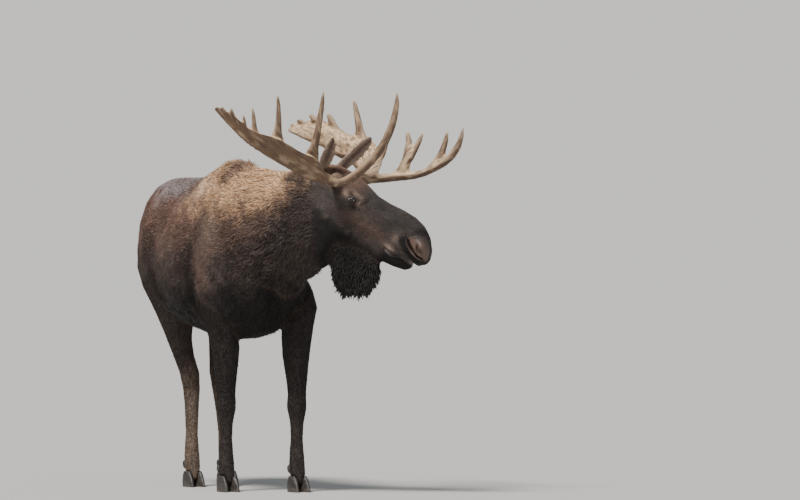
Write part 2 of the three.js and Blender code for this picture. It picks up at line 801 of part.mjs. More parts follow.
// Each leg comes away below a plane that slants down to the belly, and inside an upright one.
const legCut = (edge, facing, height, side, middle) => [
  [vec(edge, 0, 0), vec(facing, 0, 0)],
  [vec(0, side * 150, height), vec(0, side, -1)],
  [vec(0, middle, 0), vec(0, side, 0)],
];
const BETWEEN_HOCKS = 50; // the right hock stands past the midline, so the hind legs part left of it
const legs = {
  foreleg_left: { foot: FORE_FEET.left, cut: legCut(100, 1, 985, 1, 0) },
  foreleg_right: { foot: FORE_FEET.right, cut: legCut(-70, 1, 985, -1, 0) },
  hindleg_left: { foot: HIND_FEET.left, cut: legCut(-470, -1, 1110, 1, BETWEEN_HOCKS) },
  hindleg_right: { foot: HIND_FEET.right, cut: legCut(-470, -1, 1110, -1, BETWEEN_HOCKS) },
};
for (const [name, { foot, cut }] of Object.entries(legs)) {
  const [whole, rest] = parted(trunkPiece, cut);
  trunkPiece = rest;
  const horns = [-1, 1].flatMap((side) => [claw(foot, side, CLEARANCE), dewclaw(foot, side, CLEARANCE)]);
  keep(name, without(whole, horns), LEG_COAT);
  for (const [label, side] of Object.entries(sides)) {
    keep(`${name}_hoof_${label}`, claw(foot, side), HORN);
    keep(`${name}_dewclaw_${label}`, dewclaw(foot, side), HORN);
  }
}

keep("trunk", trunkPiece, DARK_COAT);
keep("neck", neckPiece, MANE_COAT);
const openings = [eye(1, CLEARANCE), eye(-1, CLEARANCE), nostril(1), nostril(-1)];
keep("head", without(headWhole, openings), DARK_COAT);
keep("tail", tail().subtract(trunk(CLEARANCE)), DARK_COAT);
const face = [skull(CLEARANCE), lowerJaw(CLEARANCE), neck(CLEARANCE)];
keep("bell", without(bell(), face), DARK_COAT);
keep("eye_left", eye(1), EYE);
keep("eye_right", eye(-1), EYE);
keep("ear_left", without(ear(LEFT_EAR), face), MANE_COAT);
keep("ear_right", without(ear(RIGHT_EAR), face), MANE_COAT);
for (const [label, side] of Object.entries(sides)) {
  const stem = beam(side, FORK[label], CLEARANCE);
  const blade = side > 0 ? LEFT_PALM : RIGHT_PALM;
  const brow = side > 0 ? leftBrow() : rightBrow();
  keep(`antler_${label}_beam`, without(beam(side, FORK[label]), face), ANTLER_BONE);
  keep(`antler_${label}_palm`, palm(blade, side).subtract(stem), ANTLER_BONE);
  keep(`antler_${label}_brow`, without(brow, [stem, palm(blade, side, CLEARANCE)]), ANTLER_BONE);
}

// The origin is the middle of the box round the animal, at the ground.
const bounds = new THREE.Box3().setFromObject(moose);
const middle = bounds.getCenter(vec(0, 0, 0));
for (const mesh of moose.children) mesh.geometry.translate(-middle.x, -middle.y, -bounds.min.z);

export default moose;
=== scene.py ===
import math

import bpy
import numpy as np
from mathutils import Matrix, Vector
from mathutils.bvhtree import BVHTree


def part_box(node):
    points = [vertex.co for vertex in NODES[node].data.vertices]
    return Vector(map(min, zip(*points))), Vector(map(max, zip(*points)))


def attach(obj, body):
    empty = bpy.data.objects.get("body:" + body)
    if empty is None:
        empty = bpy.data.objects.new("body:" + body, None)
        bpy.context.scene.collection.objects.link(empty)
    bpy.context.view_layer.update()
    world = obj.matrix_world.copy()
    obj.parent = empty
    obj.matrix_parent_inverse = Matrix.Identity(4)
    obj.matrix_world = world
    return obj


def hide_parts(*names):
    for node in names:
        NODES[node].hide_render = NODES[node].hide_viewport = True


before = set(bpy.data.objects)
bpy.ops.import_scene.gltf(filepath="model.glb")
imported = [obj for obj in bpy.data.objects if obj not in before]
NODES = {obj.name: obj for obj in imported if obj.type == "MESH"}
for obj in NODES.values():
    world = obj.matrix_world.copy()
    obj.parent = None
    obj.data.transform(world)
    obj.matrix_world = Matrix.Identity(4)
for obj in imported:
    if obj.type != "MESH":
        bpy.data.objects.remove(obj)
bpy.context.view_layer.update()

# ---- Driving values, in metres and degrees ----
ANTLER_VOXEL = 0.0039
ANTLER_SWELL = 0.0036  # keeps the palms' sharp rims thicker than the grain
VOXEL = 0.007  # grain of the skin before it is smoothed
SWELL = 0.0015  # closes the thin cuts between the solids of flesh
SKIN_TRIANGLES = 190000
PIECE_TRIANGLES = 190000  # most triangles in one piece of coat
PATCH = 0.003  # size of a tuft's patch on the unwrap

HEAD_YAW = 49.5
HEAD_PITCH = 38
HEAD_ROLL = 3
# Middle of the two eyes from the poll: to the nose, to the left, and out of the forehead.
EYE_IN_HEAD = Vector((0.229, 0, -0.047))
EYE_RADIUS = 0.0205
CORNEA = 0.0016  # how far the front of an eye stands out
LID_THICK = 0.0024

SIDES = ("left", "right")
FORELEGS = [f"foreleg_{side}" for side in SIDES]
HINDLEGS = [f"hindleg_{side}" for side in SIDES]
LEGS = FORELEGS + HINDLEGS
EARS = [f"ear_{side}" for side in SIDES]
EYES = {"eye_left": 1, "eye_right": -1}  # each eye's side
FLESH = ["trunk", "neck", "head", "tail", "bell"] + EARS + LEGS
HEAD = FLESH.index("head")


# ---- Camera, floor and light ----
def place_camera():
    """A level camera 30 m from the withers, a quarter turn less 24 degrees round from the animal's side."""
    azimuth = math.radians(66)
    aim = Vector((0.319, 0.599, 1.394))
    distance = 30
    view_width = 4.64
    film_width = 36
    camera = bpy.data.objects.new("camera", bpy.data.cameras.new("camera"))
    camera.location = aim + distance * Vector((math.sin(azimuth), -math.cos(azimuth), 0))
    camera.rotation_euler = (math.pi / 2, 0, azimuth)
    camera.data.sensor_width = film_width
    camera.data.lens = film_width * distance / view_width
    camera.data.clip_end = 400
    bpy.context.scene.collection.objects.link(camera)
    bpy.context.scene.camera = camera


def sun(name, turn, height, spread, strength, colour):
    """A far lamp that shines from a turn round the animal and a height above the floor, in degrees, softened
    by its spread."""
    lamp = bpy.data.objects.new(name, bpy.data.lights.new(name, "SUN"))
    lamp.data.energy = strength
    lamp.data.angle = math.radians(spread)
    lamp.data.color = colour
    lamp.rotation_euler = (math.radians(90 - height), 0, math.radians(turn + 90))
    bpy.context.scene.collection.objects.link(lamp)


def light_studio():
    """Soft light from high up on the right, weaker light from the front, and a pale surround that is brighter
    to look at than to be lit by."""
    sun("key", -62, 60, 16, 4.8, (1.0, 0.97, 0.93))
    sun("fill", -10, 25, 60, 0.6, (0.95, 0.97, 1.0))
    world = bpy.data.worlds.new("studio")
    world.use_nodes = True
    tree = world.node_tree
    background = tree.nodes["Background"]
    seen = tree.nodes.new("ShaderNodeLightPath").outputs["Is Camera Ray"]
    surround = tree.nodes.new("ShaderNodeMix")
    surround.data_type = "RGBA"
    surround.inputs["A"].default_value = (0.300, 0.319, 0.342, 1)
    surround.inputs["B"].default_value = (0.820, 0.805, 0.767, 1)
    tree.links.new(seen, surround.inputs["Factor"])
    tree.links.new(surround.outputs["Result"], background.inputs["Color"])
    bpy.context.scene.world = world


def lay_floor():
    """A plain pale floor, a round sheet 300 m across at level zero."""
    radius = 150
    turn = np.linspace(0, 2 * np.pi, 96, endpoint=False)
    rim = np.stack([radius * np.cos(turn), radius * np.sin(turn), 0 * turn], 1)
    mesh = bpy.data.meshes.new("floor")
    mesh.from_pydata(rim.tolist(), [], [list(range(len(rim)))])
    floor = bpy.data.objects.new("floor", mesh)
    bpy.context.scene.collection.objects.link(floor)
    material = bpy.data.materials.new("floor_paint")
    material.use_nodes = True
    paint = material.node_tree.nodes["Principled BSDF"]
    paint.inputs["Base Color"].default_value = (0.50, 0.49, 0.47, 1)
    paint.inputs["Roughness"].default_value = 0.9
    mesh.materials.append(material)


place_camera()
light_studio()
lay_floor()


# ---- Tools for meshes held as arrays ----
def unit(vectors):
    """Vectors scaled to length one, along the last axis."""
    return vectors / np.maximum(np.linalg.norm(vectors, axis=-1, keepdims=True), 1e-9)


def lengths(vectors):
    """The length of each row."""
    return np.linalg.norm(vectors, axis=1)


def dot(first, second):
    """The dot product of each pair of rows."""
    return (first * second).sum(1)


def off_axis(away, axis):
    """How far each row lies from the line through zero along a unit axis."""
    return lengths(away - np.outer(away @ axis, axis))


def laid_flat(ways, normals):
    """Ways less their share along the normals, scaled to length one."""
    return unit(ways - normals * dot(ways, normals)[:, None])


def ease(low, high, values):
    """Zero below low, one above high, and 3t^2 - 2t^3 between, for rising or falling limits."""
    t = np.clip((values - low) / (high - low), 0, 1)
    return t * t * (3 - 2 * t)


def hill(values, middle, reach):
    """exp(-((v - middle) / reach)^2)."""
    return np.exp(-(((values - middle) / reach) ** 2))


def mesh_arrays(mesh):
    """A mesh's points and triangles, with points at the same place made one."""
    points = np.empty(len(mesh.vertices) * 3, np.float32)
    mesh.vertices.foreach_get("co", points)
    mesh.calc_loop_triangles()
    faces = np.empty(len(mesh.loop_triangles) * 3, np.int32)
    mesh.loop_triangles.foreach_get("vertices", faces)
    points = points.reshape(-1, 3).astype(float)
    key = np.round(points * 1e6).astype(np.int64)
    _, first, back = np.unique(key, axis=0, return_index=True, return_inverse=True)
    return points[first], back.reshape(-1)[faces.reshape(-1, 3)]


def face_normals(points, faces):
    """Cross product of two sides of each triangle: its direction times twice its area."""
    a, b, c = (points[faces[:, k]] for k in range(3))
    return np.cross(b - a, c - a)


def point_normals(points, faces):
    """The unit sum of the area-weighted normals of the triangles round each point."""
    across = face_normals(points, faces)
    total = np.zeros((3, len(points)))
    for axis in range(3):
        total[axis] = sum(np.bincount(faces[:, k], across[:, axis], len(points)) for k in range(3))
    return unit(np.stack(total, 1))


def links_of(faces):
    """The mesh's edges, each once, as pairs of points."""
    pairs = np.concatenate([faces[:, [0, 1]], faces[:, [1, 2]], faces[:, [2, 0]]])
    pairs = np.sort(pairs, 1)
    span = int(pairs.max()) + 1
    keys = np.unique(pairs[:, 0].astype(np.int64) * span + pairs[:, 1])
    return np.stack([keys // span, keys % span], 1)


def blurred(values, links, rounds, share=0.5):
    """Each round moves a value towards the mean of its neighbours by a share, which may differ by point."""
    count = len(values)
    a, b = links[:, 0], links[:, 1]
    degree = np.maximum(np.bincount(a, minlength=count) + np.bincount(b, minlength=count), 1)
    columns = [column.copy() for column in values.reshape(count, -1).T.astype(float)]
    for _ in range(rounds):
        for column in columns:
            around = np.bincount(a, column[b], count) + np.bincount(b, column[a], count)
            column += share * (around / degree - column)
    return np.stack(columns, 1).reshape(values.shape)


def waves(places, length, seed, terms=10):
    """A smooth random field from about -1 to 1: the sum of sines along random directions, near one
    wavelength, over the root of their number."""
    rng = np.random.default_rng(seed)
    ways = unit(rng.normal(size=(terms, 3))) * (2 * np.pi / length) * rng.uniform(0.7, 1.4, (terms, 1))
    phases = rng.uniform(0, 2 * np.pi, terms)
    return np.sin(places @ ways.T + phases).sum(1) * (1.4 / np.sqrt(terms)) / 1.4


def refined(points, faces, chosen):
    """Cuts each chosen triangle in four at the middles of its sides, and its neighbours in two or three to
    match."""
    span = len(points)
    sides = np.sort(np.stack([faces[:, [0, 1]], faces[:, [1, 2]], faces[:, [2, 0]]], 1), 2)
    keys = sides[..., 0].astype(np.int64) * span + sides[..., 1]
    cut_keys = np.unique(keys[chosen])
    where = np.minimum(np.searchsorted(cut_keys, keys), len(cut_keys) - 1)
    cut = cut_keys[where] == keys
    middles = (points[cut_keys // span] + points[cut_keys % span]) / 2
    new = where + span
    score = cut.sum(1)
    a, b, c = faces[score == 3].T
    x, y, z = new[score == 3].T
    out = [faces[score == 0]]
    out += [np.stack(t, 1) for t in ((a, x, z), (x, b, y), (z, y, c), (x, y, z))]
    for k in range(3):
        one = (score == 1) & cut[:, k]
        a, b, c = (faces[one, (k + j) % 3] for j in range(3))
        x = new[one, k]
        out += [np.stack(t, 1) for t in ((a, x, c), (x, b, c))]
        two = (score == 2) & ~cut[:, k]
        a, b, c = (faces[two, (k + j) % 3] for j in range(3))
        y, z = new[two, (k + 1) % 3], new[two, (k + 2) % 3]
        out += [np.stack(t, 1) for t in ((a, b, y), (a, y, z), (z, y, c))]
    return np.concatenate([points, middles]), np.concatenate(out)


def new_object(name, points, faces):
    """A mesh object from arrays of points and triangles, at the origin, shaded smooth."""
    mesh = bpy.data.meshes.new(name)
    mesh.vertices.add(len(points))
    mesh.vertices.foreach_set("co", np.ascontiguousarray(points, np.float32).ravel())
    mesh.loops.add(faces.size)
    mesh.loops.foreach_set("vertex_index", np.ascontiguousarray(faces, np.int32).ravel())
    mesh.polygons.add(len(faces))
    mesh.polygons.foreach_set("loop_start", np.arange(0, faces.size, 3, dtype=np.int32))
    mesh.polygons.foreach_set("use_smooth", np.ones(len(faces), bool))
    mesh.update(calc_edges=True)
    item = bpy.data.objects.new(name, mesh)
    bpy.context.scene.collection.objects.link(item)
    return item


def store(item, name, values):
    """Keeps values on a mesh: one number, three or four for each point."""
    kinds = {1: ("FLOAT", "value"), 3: ("FLOAT_VECTOR", "vector"), 4: ("FLOAT_COLOR", "color")}
    kind, key = kinds[1 if values.ndim == 1 else values.shape[1]]
    attribute = item.data.attributes.new(name, kind, "POINT")
    attribute.data.foreach_set(key, np.ascontiguousarray(values, np.float32).ravel())


def with_alpha(colours):
    """Colours made opaque."""
    return np.concatenate([colours, np.ones((len(colours), 1))], 1)


def store_unwrap(item, places):
    """Keeps the places on the unwrap, one for each corner of each triangle, as the map for baked colours."""
    layer = item.data.uv_layers.new(name="OFBake")
    layer.data.foreach_set("uv", np.ascontiguousarray(places, np.float32).ravel())


def finished(item, material, replaced=()):
    """Gives a piece its material and its body, and hides the solids it stands for."""
    item.data.materials.clear()
    item.data.materials.append(material)
    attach(item, "root")
    if replaced:
        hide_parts(*replaced)


def applied(item, kind, **settings):
    """Gives the mesh of an object after one modifier, and removes the object."""
    modifier = item.modifiers.new(kind.lower(), kind)
    for key, value in settings.items():
        setattr(modifier, key, value)
    ready = item.evaluated_get(bpy.context.evaluated_depsgraph_get())
    mesh = bpy.data.meshes.new_from_object(ready)
    bpy.data.objects.remove(item)
    return mesh


def joined(parts):
    """Several pairs of points and triangles as one pair."""
    starts = np.cumsum([0] + [len(points) for points, _ in parts])
    return (
        np.concatenate([points for points, _ in parts]),
        np.concatenate([faces + start for (_, faces), start in zip(parts, starts)]),
    )


def grown(node, by):
    """A solid's points and triangles, pushed out along its normals."""
    points, faces = mesh_arrays(NODES[node].data)
    return points + point_normals(points, faces) * by, faces


def remeshed(name, nodes, voxel, swell):
    """Several solids made one closed surface of even grain."""
    lump = new_object(name, *joined([grown(node, swell) for node in nodes]))
    return mesh_arrays(applied(lump, "REMESH", mode="VOXEL", voxel_size=voxel))


def middle_of(node):
    """The middle of a solid's box, as an array."""
    low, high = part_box(node)
    return np.array((low + high) / 2)


# ---- The head's own axes: to the nose, to the left, out of the forehead ----
HEAD_TURN = np.array(
    Matrix.Rotation(math.radians(HEAD_YAW), 3, "Z")
    @ Matrix.Rotation(math.radians(-HEAD_ROLL), 3, "X")
    @ Matrix.Rotation(math.radians(HEAD_PITCH), 3, "Y")
)
POLL = sum(middle_of(node) for node in EYES) / 2 - HEAD_TURN @ np.array(EYE_IN_HEAD)


def in_head(points):
    """Points in the head's own axes, measured from the poll."""
    return (points - POLL) @ HEAD_TURN


def from_head(points):
    """Points given in the head's own axes, in the frame of the whole animal."""
    return np.asarray(points) @ HEAD_TURN.T + POLL


# ---- Skin: all flesh as one surface ----
def nearest_nodes(points):
    """For each point, the number in FLESH of the solid whose surface is nearest."""
    parts = [mesh_arrays(NODES[node].data) for node in FLESH]
    owner = np.repeat(np.arange(len(FLESH)), [len(faces) for _, faces in parts])
    lumps, faces = joined(parts)
    tree = BVHTree.FromPolygons(lumps.tolist(), faces.tolist())
    return owner[[tree.find_nearest(point)[2] for point in points.tolist()]]


SPINE = middle_of("tail")[1]  # sideways place of the backbone
WITHERS = np.array([-0.0655, SPINE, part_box("trunk")[1].z])

# Coat by region: how far the skin lies inside the solids, a tuft's length and half width, all in metres, the
# number of tufts to the square metre, and the share by which facets are blurred away.
REGIONS = {
    "trunk": (0.007, 0.036, 0.0030, 16500, 0.5),
    "neck": (0.011, 0.052, 0.0034, 19000, 0.5),
    "head": (0.002, 0.013, 0.0013, 56000, 0.10),
    "tail": (0.006, 0.040, 0.004, 16000, 0.1),
    "bell": (0.014, 0.048, 0.0045, 17000, 0.2),
    "ear": (0.0015, 0.014, 0.0014, 36000, 0.015),
    "foreleg": (0.003, 0.024, 0.003, 15000, 0.10),
    "hindleg": (0.003, 0.024, 0.003, 15000, 0.10),
}
DEPTH, LENGTH, WIDTH, CROWD, EVENNESS = (dict(zip(REGIONS, column)) for column in zip(*REGIONS.values()))


class Skin:
    """The surface that carries the coat: points, faces, edges, the region of each point, and named values."""

    def __init__(self, points, faces):
        self.points, self.faces = points, faces
        self.measure()

    def measure(self):
        """Finds the edges and the normals."""
        self.links = links_of(self.faces)
        self.normals = point_normals(self.points, self.faces)

    def push(self, by):
        """Moves each point out along its normal."""
        self.points = self.points + self.normals * by[:, None]

    def field(self, table, rounds=50):
        """A value from a table keyed by the first word of a solid's name, blended across the borders."""
        values = np.array([table[node.split("_")[0]] for node in FLESH], float)
        return blurred(values[self.labels], self.links, rounds)

    def within(self, *words, rounds=0):
        """One in the named regions and zero elsewhere, blended by a number of rounds."""
        return self.field({word: word in words for word in REGIONS}, rounds)


def evened_skin():
    """All flesh remeshed, then its facets blurred away, less on the head, legs and ears than on the trunk."""
    skin = Skin(*remeshed("flesh", FLESH + list(EYES), VOXEL, SWELL))
    skin.outer = skin.points.copy()
    skin.labels = nearest_nodes(skin.points)
    low_leg = skin.field(dict(EVENNESS, foreleg=0.05, hindleg=0.05), 0)
    share = np.where(skin.points[:, 2] < 0.75, low_leg, skin.field(EVENNESS, 0))
    skin.points = blurred(skin.points, skin.links, 80, blurred(share, skin.links, 12))
    skin.measure()
    skin.push(blurred(dot(skin.outer - skin.points, skin.normals), skin.links, 30))
    skin.measure()
    return skin


def bulge(skin, place, reach, height, places=None, mask=1.0):
    """Pushes the skin out by mask * height * exp(-(distance / reach)^2), with a reach for each axis, or in
    where the height is below zero. The distance is from the points, or from places given for them."""
    places = skin.points if places is None else places
    away = (((places - np.array(place)) / np.array(reach)) ** 2).sum(1)
    skin.push(mask * height * np.exp(-away))


def path_distance(places, path):
    """Distance from a path of straight runs."""
    path = np.asarray(path, float)
    nearest = np.full(len(places), 1e9)
    for start, end in zip(path[:-1], path[1:]):
        run = end - start
        share = np.clip((places - start) @ run / (run @ run), 0, 1)
        nearest = np.minimum(nearest, lengths(places - start - share[:, None] * run))
    return nearest


def furrow(skin, path, width, depth, places=None, mask=1.0):
    """Presses a groove into the skin along a path: depth * exp(-(distance / width)^2) * mask."""
    places = skin.points if places is None else places
    skin.push(-(depth * hill(path_distance(places, path), 0, width) * mask))


def model_body(skin):
    """Muscle and bone under the coat: on each side the shoulder, the crease behind it, ribs, hip, thigh,
    stifle, breast and throat; then the middle of the breast; then knees, forearms and tendons."""
    for side in (-1, 1):
        flank = SPINE + side * 0.30
        bulge(skin, (0.10, flank, 1.36), (0.11, 0.13, 0.26), 0.014)
        crease = [(-0.10, flank, 1.66), (-0.13, flank, 1.50), (-0.13, flank, 1.34), (-0.06, flank, 1.12)]
        furrow(skin, crease, 0.085, 0.020)
        bulge(skin, (-0.45, flank, 1.27), (0.22, 0.2, 0.26), 0.012)
        bulge(skin, (-0.80, SPINE + side * 0.17, 1.76), (0.07, 0.07, 0.08), 0.014)
        bulge(skin, (-0.66, flank, 1.52), (0.09, 0.16, 0.12), -0.014)
        bulge(skin, (-0.90, flank, 1.24), (0.15, 0.18, 0.24), 0.014)
        furrow(skin, [(-0.66, flank, 1.42), (-0.60, flank, 1.26), (-0.575, flank, 1.12)], 0.065, 0.016)
        bulge(skin, (-0.60, flank, 1.04), (0.08, 0.12, 0.07), 0.010)
        bulge(skin, (0.22, SPINE + side * 0.20, 1.18), (0.10, 0.10, 0.13), 0.016)
        fold = [(0.16, 0.25, 1.33), (0.27, 0.21, 1.20), (0.30, 0.17, 1.02)]
        furrow(skin, [(x, SPINE + side * y, z) for x, y, z in fold], 0.034, 0.009)
        throat = [(0.57, -0.27, 1.50), (0.51, -0.31, 1.394), (0.46, -0.325, 1.33), (0.40, -0.335, 1.235)]
        throat = [(x + 0.05 * (side > 0), SPINE - side * (y - SPINE), z) for x, y, z in throat]
        furrow(skin, throat, 0.030, 0.014)
    bulge(skin, (0.36, SPINE + 0.03, 1.26), (0.16, 0.035, 0.24), -0.016)
    bulge(skin, (0.20, SPINE + 0.04, 0.93), (0.16, 0.05, 0.07), -0.012)
    for node in FORELEGS:
        low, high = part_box(node)
        foot = middle_of(node)[1]
        x = low.x + 0.60 * (high.x - low.x)
        bulge(skin, (x + 0.02, foot, 0.50), (0.06, 0.10, 0.05), 0.006)
        bulge(skin, (x - 0.02, foot, 0.78), (0.08, 0.12, 0.11), 0.010)
        for side in (-1, 1):
            tendon = [(x - 0.03, foot + side * 0.06, 0.46), (x - 0.02, foot + side * 0.05, 0.20)]
            furrow(skin, tendon, 0.012, 0.005)
    skin.measure()


# ---- Head: lips, nostrils, brows and cheek, in the head's own axes and mirrored left to right ----
# The line between the lips from the side, from the nose back.
MOUTH_LINE = [(0.745, -0.122), (0.707, -0.1195), (0.670, -0.118), (0.645, -0.1235)]
MOUTH_LINE += [(0.620, -0.139), (0.593, -0.151), (0.545, -0.150)]
# Where the slit of the nostril starts, and the way it runs.
SLIT_TOP = np.array([0.630, -0.027])
SLIT_WAY = unit(np.array([0.845, -0.536]))
NOSTRIL_MIDDLE = 0.064  # along the slit
NOSTRIL_HALF = 0.076
MOUTH_LEVEL = -0.128  # of the line between the lips, out of the face
NOSTRIL_REACH = 0.106  # from the slit to the front edge of the opening
OPENING_HALF = (0.0192, 0.0116, 0.0108)  # of the eye: lengthwise, above and below
HEAD_BUMPS = [
    # middle, reach and height
    ((0.205, 0.098, 0.004), (0.060, 0.035, 0.018), 0.012),  # brow
    ((0.285, 0.085, -0.058), (0.026, 0.035, 0.030), -0.008),  # tear hollow
    ((0.240, 0.100, -0.105), (0.075, 0.040, 0.018), 0.006),  # cheek bone
    ((0.170, 0.100, -0.190), (0.090, 0.060, 0.070), 0.008),  # jaw muscle
    ((0.330, 0.100, -0.175), (0.110, 0.050, 0.030), -0.006),  # hollow before the jaw muscle
    ((0.400, 0.075, -0.050), (0.090, 0.050, 0.045), -0.006),  # side of the nose
    ((0.570, 0.090, -0.075), (0.050, 0.050, 0.040), 0.008),  # upper lip
    ((0.560, 0.080, -0.135), (0.035, 0.040, 0.018), 0.006),  # corner of the mouth
    ((0.711, 0.070, -0.015), (0.026, 0.040, 0.026), 0.019),  # tip of the nose
]


def mirrored(points):
    """Points in the head's own axes, with the left side folded onto the right."""
    places = in_head(points)
    return np.stack([places[:, 0], np.abs(places[:, 1]), places[:, 2]], 1)


def nostril_places(places):
    """Place along the slit, place in front of it, and the distance from the middle of the slit in half
    widths, which is 1 on the rim: a broad half oval in front of the slit, and a narrow one behind."""
    a, b = places[:, 0] - SLIT_TOP[0], places[:, 2] - SLIT_TOP[1]
    along = a * SLIT_WAY[0] + b * SLIT_WAY[1]
    ahead = -a * SLIT_WAY[1] + b * SLIT_WAY[0] - 0.25 * along * (along / 0.12)
    reach = np.where(ahead > 0, NOSTRIL_REACH, 0.010)
    squareness = 2.6
    ring = np.abs((along - NOSTRIL_MIDDLE) / NOSTRIL_HALF) ** squareness + np.abs(ahead / reach) ** squareness
    return along, ahead, ring ** (1 / squareness)


def beside_mouth(places):
    """Distance from the line between the lips, seen from the side."""
    return path_distance(places[:, [0, 2]], MOUTH_LINE)


def model_head(skin):
    """Brow ridges, tear hollows, cheek bones, jaw muscle, the groove of the mouth, lips and nostrils."""
    mask = blurred((skin.labels == HEAD).astype(float), skin.links, 6)
    for bump in HEAD_BUMPS:
        bulge(skin, *bump, mirrored(skin.points), mask)
    for a, b in ((0.300, -0.02), (0.320, -0.03)):
        wrinkle = [(a, 0.09, b), (a - 0.015, 0.10, b - 0.055)]
        furrow(skin, wrinkle, 0.006, 0.0035, mirrored(skin.points), mask)
    for a in (0.52, 0.545, 0.575):
        wrinkle = [(a, 0.09, -0.075), (a - 0.01, 0.09, -0.125)]
        furrow(skin, wrinkle, 0.006, 0.0025, mirrored(skin.points), mask)
    places = mirrored(skin.points)
    lips = beside_mouth(places)
    front = ease(0.52, 0.57, places[:, 0])
    lip_press = front * (0.011 * np.exp(-((lips / 0.006) ** 2)) - 0.003 * hill(lips, 0.017, 0.008))
    along, ahead, ring = nostril_places(places)
    side = mask * ease(0.015, 0.030, places[:, 1]) * ease(0.58, 0.61, places[:, 0])
    behind = ahead < 0
    floor = np.where(behind, 1.0, 0.12 + 0.88 * np.exp(-np.maximum(ahead, 0) / 0.010))
    hole = 0.022 * floor * ease(1.0, np.where(behind, 0.25, 0.80), ring)
    lobe = 0.009 * hill(along, 0.070, 0.055) * hill(ahead, 0.055, 0.034)
    wing = 0.007 * hill(ahead, -0.017, 0.009) * hill(along, NOSTRIL_MIDDLE, 0.07)
    skin.push(side * (lobe + wing - hole) - mask * lip_press)
    skin.lips = mask * front * np.exp(-((lips / 0.012) ** 2))
    skin.nostril = side * ease(1.12, 0.92, ring)
    skin.places = places


def open_eyes(skin):
    """Shapes lids round each eyeball. A point near an eye keeps its direction from the eyeball's middle, and
    its distance becomes: within the opening, less than the ball's radius; on the lids, a little more."""
    skin.lids = np.zeros(len(skin.points))
    length, above, below = OPENING_HALF
    inside = EYE_RADIUS * 0.86
    for node, side in EYES.items():
        centre = middle_of(node)
        out, ahead, up = eye_axes(side)
        away = skin.points - centre
        distance = np.maximum(lengths(away), 1e-6)
        way = away / distance[:, None]
        f, g = EYE_RADIUS * (way @ ahead), EYE_RADIUS * (way @ up)
        aside = off_axis(away, out)
        facing = ease(-0.1, 0.35, way @ out) * (distance < 0.07)
        f = f - 0.15 * g
        half = np.where(g > 0, above, below)
        m = (np.abs(f / length) ** 1.6 + np.abs(g / half) ** 1.6) ** (1 / 1.6)
        fold = 0.0016 * (g > 0) * hill(m, 1.75, 0.14) + 0.0010 * (g < 0) * hill(m, 1.9, 0.16)
        lid = EYE_RADIUS + LID_THICK + 0.0012 * hill(m, 1.25, 0.2) - fold
        wanted = inside + (lid - inside) * ease(0.90, 1.04, m)
        reach = distance + (wanted - distance) * (facing * ease(0.040, 0.022, aside))
        skin.points = centre + way * reach[:, None]
        skin.lids = np.maximum(skin.lids, facing * ease(1.42, 1.12, m) * ease(0.030, 0.024, aside))


def eye_axes(side):
    """The way an eye looks, the way towards the nose across it, and up across it."""
    out = unit(HEAD_TURN @ np.array([0.22, side * 0.97, 0.08]))
    ahead = HEAD_TURN @ np.array([1.0, 0, 0.25])
    ahead = unit(ahead - out * (ahead @ out))
    up = np.cross(out, ahead) * -side
    return out, ahead, up


def finer_head(skin):
    """Cuts the triangles small in three passes: round the eyes in each, on the muzzle in the first, and by
    the nostrils and the mouth in the second."""
    for step, reach in enumerate((0.060, 0.045, 0.032)):
        centres = skin.points[skin.faces].mean(1)
        places = mirrored(centres)
        on_head = skin.labels[skin.faces[:, 0]] == HEAD
        chosen = np.any([lengths(centres - middle_of(node)) < reach for node in EYES], 0)
        if step == 0:
            chosen |= on_head & (places[:, 0] > 0.52) & (places[:, 0] < 0.9) & (places[:, 2] > -0.26)
        if step == 1:
            fine = (nostril_places(places)[2] < 1.3) | (beside_mouth(places) < 0.012)
            chosen |= on_head & (places[:, 0] > 0.58) & fine
        count = len(skin.points)
        skin.outer, _ = refined(skin.outer, skin.faces, chosen)
        skin.points, skin.faces = refined(skin.points, skin.faces, chosen)
        skin.measure()
        skin.labels = np.concatenate([skin.labels, np.full(len(skin.points) - count, HEAD)])


def sunk(skin):
    """Draws the skin in along its normals by the depth of the coat, and finds the room left for the coat: the
    height of the solids' own surface above the skin."""
    z = skin.points[:, 2]
    hump = hill(skin.points[:, 0], WITHERS[0], 0.25) * ease(1.74, 1.88, z)
    depth = skin.field(DEPTH) + 0.010 * hump * skin.within("trunk", "neck")
    depth += 0.012 * skin.within("bell") * ease(1.26, 1.14, z)
    skin.push(-depth)
    skin.measure()
    room = dot(skin.outer - skin.points, skin.normals)
    skin.room = blurred(np.clip(room, 0.0015, 0.035), skin.links, 6)


def curl_along(skin):
    """How sharply the skin bends along the lie of the coat, in radians to the metre: the best fit of the
    change of normal against the step, over the edges round a point."""
    a, b = skin.links.T
    step, swing = skin.points[b] - skin.points[a], skin.normals[b] - skin.normals[a]
    top = bottom = 0
    for end in (a, b):
        along = dot(step, skin.lie[end])
        weight = along**2 / np.maximum(dot(step, step), 1e-12)
        turned = weight * dot(swing, skin.lie[end]) * along
        top = top + np.bincount(end, turned, len(skin.points))
        bottom = bottom + np.bincount(end, weight * along**2, len(skin.points))
    return blurred(np.clip(top / (bottom + 1e-12), -8, 30), skin.links, 12)


# ---- The coat: which way it lies, how long and how thick it grows, and its colours ----
def long_axis(node):
    """The direction in which a solid is longest, upwards."""
    points, _ = mesh_arrays(NODES[node].data)
    axis = np.linalg.svd(points - points.mean(0), full_matrices=False)[2][0]
    return axis * np.sign(axis[2])


